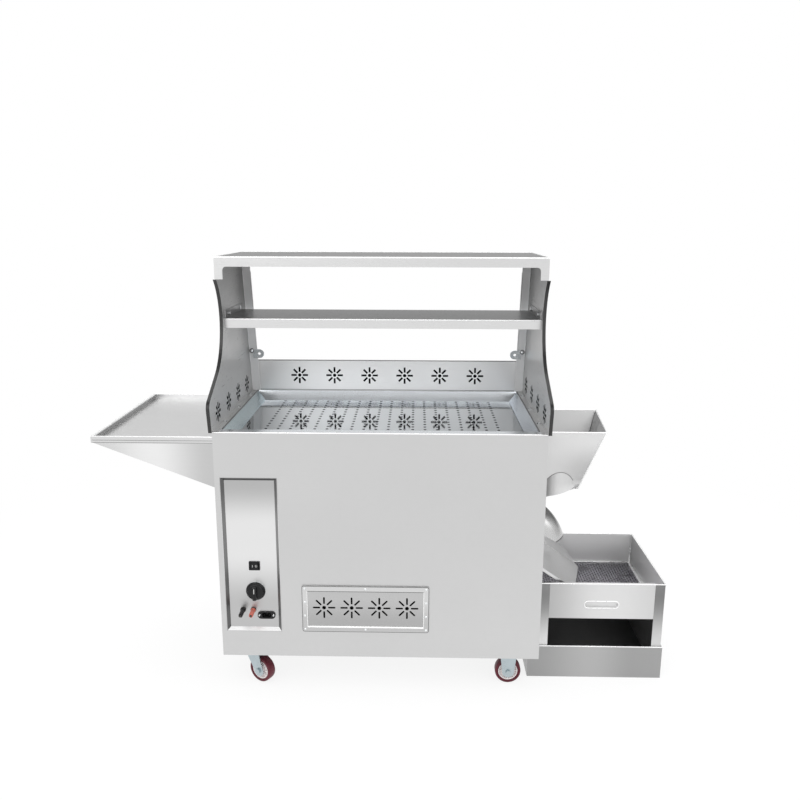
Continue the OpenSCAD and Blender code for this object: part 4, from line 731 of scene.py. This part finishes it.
# %% Hems of the trays and the funnel
TABLE_HEM = 0.0016
low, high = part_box("side_table")
x0, y0, x1, y1, z = low[0] + TABLE_HEM, low[1] + TABLE_HEM, high[0], high[1] - TABLE_HEM, high[2]
hem("table_hem", "cabinet", hem_steel, TABLE_HEM, [(x1, y1, z), (x0, y1, z), (x0, y0, z), (x1, y0, z)])
x0, z = x0 + TABLE_HEM, z - TABLE_HEM
hem("table_end_hem", "cabinet", hem_steel, 2 * TABLE_HEM, [(x0, y1, z), (x0, y0, z)])
hem("hopper_hem", "cabinet", hem_steel, 0.0018, rim_from_above("hopper"))
low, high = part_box("sieve_frame")
SIEVE_HEM = 0.0017
x0, y0, x1, y1, z = low[0], low[1], high[0] - SIEVE_HEM, high[1] - SIEVE_HEM, high[2] - SIEVE_HEM / 2
hem("sieve_box_hem", "sieve_stand", hem_steel, SIEVE_HEM,
    [(x0, y1, z), (x1, y1, z), (x1, y0, z), (x0, y0, z)])
low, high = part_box("sand_tray")
x0, y0, x1, y1, z = low[0], low[1], high[0], high[1], high[2]
tray_rim = [Vector(corner) for corner in ((x0, y0, z), (x1, y0, z), (x1, y1, z), (x0, y1, z))]
hem("sand_tray_hem", "sieve_stand", hem_steel, 0.0018, drawn_in(tray_rim, 0.001), closed=True)

# %% Hems of the worktop, shelves and splash back
INSET = 0.001
SHELF_TOP = 1047.5


def level_line(low, high, y, z, inset):
    """Two ends of a line across a box, drawn in from its sides."""
    return [(low[0] + inset, y, z), (high[0] - inset, y, z)]


low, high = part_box("worktop_tray")
hem("worktop_hem", "cabinet", hem_steel, 0.0017,
    level_line(low, high, low[1] + INSET, high[2] - 0.0012, INSET))
low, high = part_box("top_shelf")
x0, y0, x1, y1, z = low[0] + INSET, low[1] + INSET, high[0] - INSET, high[1] - INSET, high[2] - INSET
hem("top_shelf_hem", "cabinet", hem_steel, 0.0022,
    [(x0, y0, z), (x1, y0, z), (x1, y1, z), (x0, y1, z)], closed=True)
low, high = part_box("middle_shelf")
z = at(0, 0, SHELF_TOP).z - INSET
hem("middle_shelf_hem", "cabinet", hem_steel, 0.0020, level_line(low, high, low[1] + INSET, z, INSET))
low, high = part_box("splash_back")
hem("splash_edge", "cabinet", seam_steel, 0.0013, level_line(low, high, low[1], high[2] - 0.0008, 0.012))
hem("tray_back_seam", "cabinet", seam_steel, 0.0008,
    level_line(low, high, low[1] - 0.0006, low[2] + 0.0026, 0.02))

# %% Flanges of the wings
FLANGE_EDGE = 421.7
FLANGE_FOLD = 446.2
FLANGE_TOP = (441, 1163)
TRAY_EDGE = 429.2
# The flange hems and folds carry the matt white painted highlight.
for label, side in (("left", -1), ("right", 1)):
    hem(label + "_flange_hem", "cabinet", fold_highlight_steel, 0.0016,
        [at(side * FLANGE_EDGE, 526.3, 768), at(side * FLANGE_EDGE, *FLANGE_TOP)])
    hem(label + "_flange_fold", "cabinet", fold_highlight_steel, 0.0018,
        [at(side * FLANGE_FOLD, 504.5, 869), at(side * FLANGE_FOLD, *FLANGE_TOP)])
    hem(label + "_tray_seam", "cabinet", seam_steel, 0.0022,
        [at(side * TRAY_EDGE, 34, 766.4), at(side * TRAY_EDGE, 530, 766.4)])

# %% [markdown]
# ## Pressed edges
# The cover of the burner vent and the pull of the sieve box are pressed from thin sheet. A press leaves a
# round shoulder that catches the light below and throws a dark line above, so thin bars are laid along both;
# the dark bar above the vent cover is painted shadow.

# %% Pressed edges
VENT_X = -41.5
VENT_Z = 254
VENT = at(VENT_X, -3.6, VENT_Z)
LIP_CORNERS = ((-0.1635, 0.054), (-0.1635, -0.055), (0.1635, -0.055), (0.1635, 0.054))


def oblong(centre, width, height, turn_radius, steps):
    """Points of an oblong with round corners, seen from the front."""
    points = []
    for k in range(4 * (steps + 1)):
        quarter, step = divmod(k, steps + 1)
        a = math.pi / 2 * (quarter + step / steps)
        x = (width / 2 - turn_radius) * (1 if quarter in (0, 3) else -1) + turn_radius * math.cos(a)
        z = (height / 2 - turn_radius) * (1 if quarter in (0, 1) else -1) + turn_radius * math.sin(a)
        points.append(centre + Vector((x, 0, z)))
    return points


hem("vent_cover_edge", "cabinet", seam_steel, 0.0009, oblong(VENT, 0.355, 0.138, 0.004, 2), closed=True)
lip = [VENT + Vector((x, 0, z)) for x, z in LIP_CORNERS]
sunk = Vector((0, INSET, 0))
hem("vent_cover_lip", "cabinet", hem_steel, 0.0010, lip)
hem("vent_cover_sill", "cabinet", hem_steel, 0.0024, [lip[1] + sunk, lip[2] + sunk])
# Dark bar along the top of the vent cover: painted shadow of the pressed shoulder.
hem("vent_cover_shadow_line", "cabinet", seam_steel, 0.0009, [lip[0], lip[3]])
pull = oblong(at(640, 84.8, 232), 0.0995, 0.0215, 0.0106, 8)
hem("pull_lip", "sieve_stand", hem_steel, 0.0014, pull, closed=True)

# %% [markdown]
# ## Seams of the hopper and the table
# The hopper is welded from flat sheets over a round outlet. The outlet meets the sloping front in an arch, so
# its points come from a circle seen from above, lifted onto the slope. The rim of the table is folded twice,
# and two thin dark bars paint the shade along its folds.

# %% Seams of the hopper
OUTLET_R = 54.6
OUTLET_X = 506.5
OUTLET_Y = 158
FOOT_Z = 569
SLOPE = 0.5357
ARCH_STEPS = 24
arch = []
for k in range(ARCH_STEPS + 1):
    a = math.radians(25 + 130 * k / ARCH_STEPS)
    forth = OUTLET_R * math.sin(a)
    arch.append(at(OUTLET_X + OUTLET_R * math.cos(a), OUTLET_Y - forth, FOOT_Z + (forth - 23) / SLOPE))
hem("outlet_seam", "cabinet", seam_steel, 0.0009, arch)
rear_right = rim_from_above("hopper")[1] + Vector((-0.0022, -0.0022, -0.002))
foot_corner = at(560.0, 179.0, 571.0)
hem("hopper_corner_seam", "cabinet", seam_steel, 0.0008, [rear_right, rear_right.lerp(foot_corner, 0.9)])
front_right = rim_from_above("hopper")[2]
hem("hopper_edge_hem", "cabinet", hem_steel, 0.0022, [front_right, at(562.2, 135.8, FOOT_Z)])
print("arch points:", len(arch))

# %% Folds of the side table
low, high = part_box("side_table")
# Two thin dark bars: painted shade along the folds of the table's rim.
for label, z in (("upper", high[2] - 0.010), ("lower", low[2] + 0.0015)):
    hem("table_crease_shade_" + label, "cabinet", seam_steel, 0.0007,
        [(low[0] + 0.004, low[1] + 0.0003, z), (high[0], low[1] + 0.0003, z)])

# %% [markdown]
# ## Flake shade discs
# The snowflakes in the splash back and the wings read black. Each gets a thin black disc that sits within the
# sheet, which the flake shows from both sides; it is painted shade. A narrow black border of painted shade
# round each spoke makes the spokes read bolder. It is a thin film on the sheet.

# %% Flake shade discs
DISC = [(0, -0.1), (24, -0.1), (28.4, -0.16), (28.6, 0), (28.4, 0.16), (24, 0.1), (0, 0.1)]
WING_SIDES = (("left", -1, RIGHT), ("right", 1, LEFT))


def back_flakes(y):
    """Centres of the six flakes of the splash back."""
    return [at((i - 2.5) * 116, y, 817.5) for i in range(6)]


def wing_flakes(x):
    """Centres of the four flakes of a wing."""
    return [at(x, 66 + 125 * i, 806.5) for i in range(4)]


def flake_shade_discs(name, centres, way):
    """Thin black discs of painted shade round centres, square to a way."""
    form = bmesh.new()
    turn = Vector(way).to_track_quat("Z", "Y").to_matrix().to_4x4()
    for centre in centres:
        lathe(form, DISC, Matrix.Translation(centre) @ turn, 32)
    return keep(name, form, "cabinet", "black_matte", painted_shade_black)


flake_shade_discs("flake_shade_discs_back", back_flakes(533.2), REAR)
for label, side, way in WING_SIDES:
    flake_shade_discs("flake_shade_discs_" + label, wing_flakes(side * 446.9), RIGHT)

# %% Painted shade round the flake spokes
FILM = 0.0001


def flake_edge_shade(name, centres, way, width):
    """Black films of painted shade round the eight spokes and the dot of each flake, on the side that faces a
    way.
    """
    form = bmesh.new()
    turn = Vector(way).to_track_quat("Z", "Y").to_matrix().to_4x4()
    near = Vector((0.0102, -width / 2, -FILM))
    far = Vector((0.0275, width / 2, FILM))
    for centre in centres:
        for k in range(8):
            spoke = Matrix.Translation(centre) @ turn @ Matrix.Rotation(math.pi * k / 4, 4, "Z")
            slab(form, near, far, FILM / 2, spoke)
        lathe(form, [(0, -0.1), (5, -0.1), (5, 0.1), (0, 0.1)], Matrix.Translation(centre) @ turn, 20)
    return keep(name, form, "cabinet", "black_matte", painted_shade_black)


flake_edge_shade("flake_edge_shade_back", back_flakes(532.95), FRONT, 0.0062)
for label, side, way in WING_SIDES:
    flake_edge_shade("flake_edge_shade_" + label, wing_flakes(side * 446.65), way, 0.0078)

# %% [markdown]
# ## Lug bolts
# A bolt with a dark washer is a usual way to hold a lug, so each gets one on the flange of its wing. The
# flange leans forward by about 12 degrees, so both profiles are turned about an axis that leans with it.

# %% Lug bolts
FLANGE_LEAN = 12.1
WASHER = [(0, -1.0), (7.5, -1.0), (7.5, 0.6), (0, 0.6)]
HEAD = [(0, 0.6), (4.8, 0.6), (4.6, 2.2), (3.0, 3.6), (0, 4.0)]
lean = Matrix.Rotation(math.radians(90 - FLANGE_LEAN), 4, "X")
form = bmesh.new()
for side in (-1, 1):
    spot = Matrix.Translation(at(side * 437.5, 493.0, 905)) @ lean
    lathe(form, WASHER, spot, 24)
    lathe(form, HEAD, spot, 20, 1)
keep("lug_bolts", form, "cabinet", "zinc", seam_steel, bright_zinc)
print("flange leans", FLANGE_LEAN, "degrees")

# %% [markdown]
# ## Holes of the warming plate
# A punch leaves a rolled rim round each hole. It is black here, which is painted shade, so that the holes
# read dark. The pattern is counted from the plate's rear edge, as in the solid, and each rim is one turned
# ring.

# %% Hole rims of painted shade
low, high = [Vector(corner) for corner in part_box("warming_plate")]
HOLE_COLUMNS = 20
HOLE_ROWS = 15
COLUMN_PITCH = 0.035
ROW_PITCH = 0.029
FIRST_ROW = 0.010
RIM = [(3.0, -0.3), (4.4, -0.1), (4.4, 0.1), (3.6, 0.5), (3.0, 0.3)]
form = bmesh.new()
for i in range(HOLE_COLUMNS):
    for j in range(HOLE_ROWS):
        x = (low.x + high.x) / 2 + COLUMN_PITCH * (i - (HOLE_COLUMNS - 1) / 2)
        lathe(form, RIM, Matrix.Translation((x, high.y - FIRST_ROW - ROW_PITCH * j, high.z)), 16)
keep("hole_shade_rims", form, "warming_plate", "stainless", painted_shade_black)
print("holes:", HOLE_COLUMNS * HOLE_ROWS)

# %% [markdown]
# ## Vent rivets
# The cover of the burner vent is held by ten blind rivets with low domes. One profile is turned once for
# each, and all ten are one piece.

# %% Vent rivets
DOME = [(0, -0.3), (3.5, -0.3), (3.5, 0.3), (3.1, 0.9), (2.2, 1.5), (1.1, 1.8), (0, 1.9)]
RIVET_SPOTS = [(x, z) for x in (-170.5, 0, 170.5) for z in (-62, 62)]
RIVET_SPOTS += [(x, z) for x in (-170.5, 170.5) for z in (-20.7, 20.7)]
forward = Matrix.Rotation(math.radians(90), 4, "X")
form = bmesh.new()
for x, z in RIVET_SPOTS:
    lathe(form, DOME, Matrix.Translation(at(VENT_X + x, -4.0, VENT_Z + z)) @ forward, 16)
rivets = keep("domed_rivets", form, "cabinet", "zinc", bright_zinc)
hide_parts("vent_rivets")
print("rivets:", len(RIVET_SPOTS))

# %% [markdown]
# ## Gas knob
# The knob is glossy plastic: a flared skirt, a ring of fine grips, a rounded bar to turn it by and a white
# pointer. The skirt is turned on the lathe, the grips and the bar are softened blocks.

# %% Gas knob
low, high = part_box("gas_knob")
knob_place = Matrix.Translation(((low[0] + high[0]) / 2, high[1], (low[2] + high[2]) / 2)) @ forward
SKIRT = [(0, 0), (27.5, 0), (27.5, 2.2), (26.8, 3.4), (25.2, 4.4), (23.2, 9.5), (21.6, 11.8), (19.0, 13.0),
         (0, 13.6)]
GRIPS = 30
BEZEL = [(25.6, 0), (27.6, 0), (27.6, 1.6), (27.0, 2.4), (25.6, 2.4)]
form = bmesh.new()
slab(form, Vector((-0.0062, -0.0195, 0.006)), Vector((0.0062, 0.0195, 0.0276)), 0.0045, knob_place)
lathe(form, SKIRT, knob_place, 64)
for k in range(GRIPS):
    grip = knob_place @ Matrix.Rotation(2 * math.pi * k / GRIPS, 4, "Z")
    slab(form, Vector((0.0218, -0.0009, 0.004)), Vector((0.0248, 0.0009, 0.0102)), 0.0006, grip)
lathe(form, BEZEL, knob_place, 64, 1)
slab(form, Vector((-0.0011, 0.003, 0.0270)), Vector((0.0011, 0.0175, 0.0279)), 0.0003, knob_place, 2)
knob = keep("gas_knob_grip", form, "gas_knob", "black_gloss", black_gloss, bright_zinc, white_mark)
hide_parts("gas_knob")
print("knob is", round((high[0] - low[0]) * 1000, 1), "mm wide")

# %% [markdown]
# ## Rocker marks
# The two halves of a rocker rise from its middle to its ends. The usual line and ring lie flat on them, so
# each mark is tilted with its half and rides on the rocker.

# %% Rocker marks
HALF_REACH = Vector((0.0052, 0, 0))
low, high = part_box("switch_rocker")
middle = Vector(((low[0] + high[0]) / 2, low[1] + 0.001, (low[2] + high[2]) / 2))
tilt = math.atan2(0.002, 0.0104)
form = bmesh.new()
on_place = Matrix.Translation(middle - HALF_REACH) @ Matrix.Rotation(tilt, 4, "Z") @ forward
slab(form, Vector((-0.0006, -0.0032, -0.0003)), Vector((0.0006, 0.0032, 0.0002)), 0.0001, on_place)
off_place = Matrix.Translation(middle + HALF_REACH) @ Matrix.Rotation(-tilt, 4, "Z") @ forward
lathe(form, [(2.2, -0.3), (3.1, -0.3), (3.1, 0.2), (2.2, 0.2)], off_place, 32)
keep("rocker_marks", form, "switch_rocker", "black_gloss", white_mark)
print("rocker tilt", round(math.degrees(tilt), 1), "degrees")

# %% [markdown]
# ## Castor wheels
# Small cart castors have a tyre of dark red polyurethane on a pale moulded core with ribs. The roll joints
# give each wheel's centre and axle, so one function makes all four, also those on turned forks.

# %% Castor wheels
TYRE_SIDE = [(27.5, -10.5), (29.5, -12.4), (31.0, -12.0), (32.2, -13.4), (34.6, -13.6), (36.4, -12.4),
             (37.3, -9.0)]
CORE_SIDE = [(4.4, -15.4), (10.5, -15.4), (11.2, -14.6), (12, -6), (24.2, -5), (25.4, -10.0), (28, -11.2)]
TYRE = TYRE_SIDE + [(37.5, 0)] + [(r, -z) for r, z in reversed(TYRE_SIDE)]
CORE = CORE_SIDE + [(r, -z) for r, z in reversed(CORE_SIDE)]


def castor_wheel(node, joint):
    """Tyre, ribbed core and hub on the axle of a roll joint."""
    turn = Vector(joint["axis"]).to_track_quat("Z", "Y").to_matrix().to_4x4()
    place = Matrix.Translation(joint["pos_m"]) @ turn
    form = bmesh.new()
    for k in range(8):
        rib = place @ Matrix.Rotation(math.pi * k / 4, 4, "Z")
        slab(form, Vector((0.0112, -0.0014, -0.0095)), Vector((0.0252, 0.0014, 0.0095)), 0.0005, rib, 1)
    lathe(form, TYRE, place, 64, 0)
    lathe(form, CORE, place, 48, 1)
    wheel = keep(node + "_tyre", form, node, "castor_wheel", tyre_rubber, wheel_core)
    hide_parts(node)
    return wheel


for node in WHEELS:
    castor_wheel(node, joints[node.replace("_wheel", "_roll")])
print("wheels:", len(WHEELS))

# %% [markdown]
# ## Castor plate bolts
# Castor plates are usually held by four hexagon heads from below. A lathe with six steps turns a hexagon, so
# no other tool is needed.

# %% Castor plate bolts
HEX = [(0, 0), (6.0, 0), (6.4, 0.6), (6.4, 3.6), (5.6, 4.2), (0, 4.2)]
PLATE_UNDERSIDE = 102
under = Matrix.Rotation(math.pi, 4, "X")
form = bmesh.new()
castor_spots = [(x, y) for x in (-370, 370) for y in (58, 492)]
bolt_spots = [(x + dx, y + dy) for x, y in castor_spots for dx in (-29, 29) for dy in (-23, 23)]
for x, y in bolt_spots:
    lathe(form, HEX, Matrix.Translation(at(x, y, PLATE_UNDERSIDE)) @ under, 6)
keep("castor_plate_bolts", form, "cabinet", "zinc", bright_zinc)
print("plate bolts:", len(bolt_spots))

# %% [markdown]
# ## Sieve
# The chestnuts fall on a sieve of crimped wire that lets the sand through. Every wire is a wave, against the
# wave of its neighbour, which reads as a weave from a step away. The crests lie between the crossings, and at
# a crossing the two wires run into each other instead of passing over and under. A narrow flat bar covers the
# cut wire ends, and a weld closes the rear corner.

# %% Woven sieve
WIRE = 0.00095
PITCH = 0.0085
low, high = [Vector(corner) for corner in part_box("sieve_mesh")]


def woven_wires(form, along, across):
    """Crimped wires that run along one axis and are set side by side along the other."""
    runs = int((high[across] - low[across]) / PITCH)
    steps = 2 * int((high[along] - low[along]) / PITCH)
    for n in range(runs + 1):
        points = []
        for k in range(steps + 1):
            point = low.copy()
            point[along] += (high[along] - low[along]) * k / steps
            point[across] += (high[across] - low[across]) * n / runs
            wave = math.sin(math.pi * k / 2) * (-1) ** (n + along)
            point.z = high.z + WIRE * wave
            points.append(point)
        bar(form, points, WIRE, 4)


form = bmesh.new()
woven_wires(form, 0, 1)
woven_wires(form, 1, 0)
sieve = keep("woven_sieve", form, "sieve_stand", "zinc", sieve_wire)
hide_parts("sieve_mesh")
print("sieve faces:", len(sieve.data.polygons))

# %% Sieve edge bars and corner weld
EDGE_W = 0.009
EDGE_T = 0.0012
WELD_R = 0.0030
form = bmesh.new()
top = high.z + 2 * WIRE
for y in (low.y, high.y - EDGE_W):
    slab(form, Vector((low.x, y, top)), Vector((high.x, y + EDGE_W, top + EDGE_T)))
for x in (low.x, high.x - EDGE_W):
    slab(form, Vector((x, low.y + EDGE_W, top)), Vector((x + EDGE_W, high.y - EDGE_W, top + EDGE_T)))
keep("sieve_edge_bars", form, "sieve_stand", "bright_stainless", hem_steel)
rim_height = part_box("sieve_frame")[1][2]
corner = Vector((high.x + 0.0004, high.y + 0.0004, 0))
form = bmesh.new()
bar(form, [Vector((corner.x, corner.y, top)), Vector((corner.x, corner.y, rim_height - 0.002))], WELD_R, 10)
keep("sieve_corner_weld", form, "sieve_stand", "bright_stainless", hem_steel)
print("sieve rim is", round((rim_height - top) * 1000), "mm above the wire")

# %% [markdown]
# ## Sizes
# The last cell prints the box of the dressed machine.

# %% Finish
low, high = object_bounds()
print("box", [round(v, 4) for v in high - low])
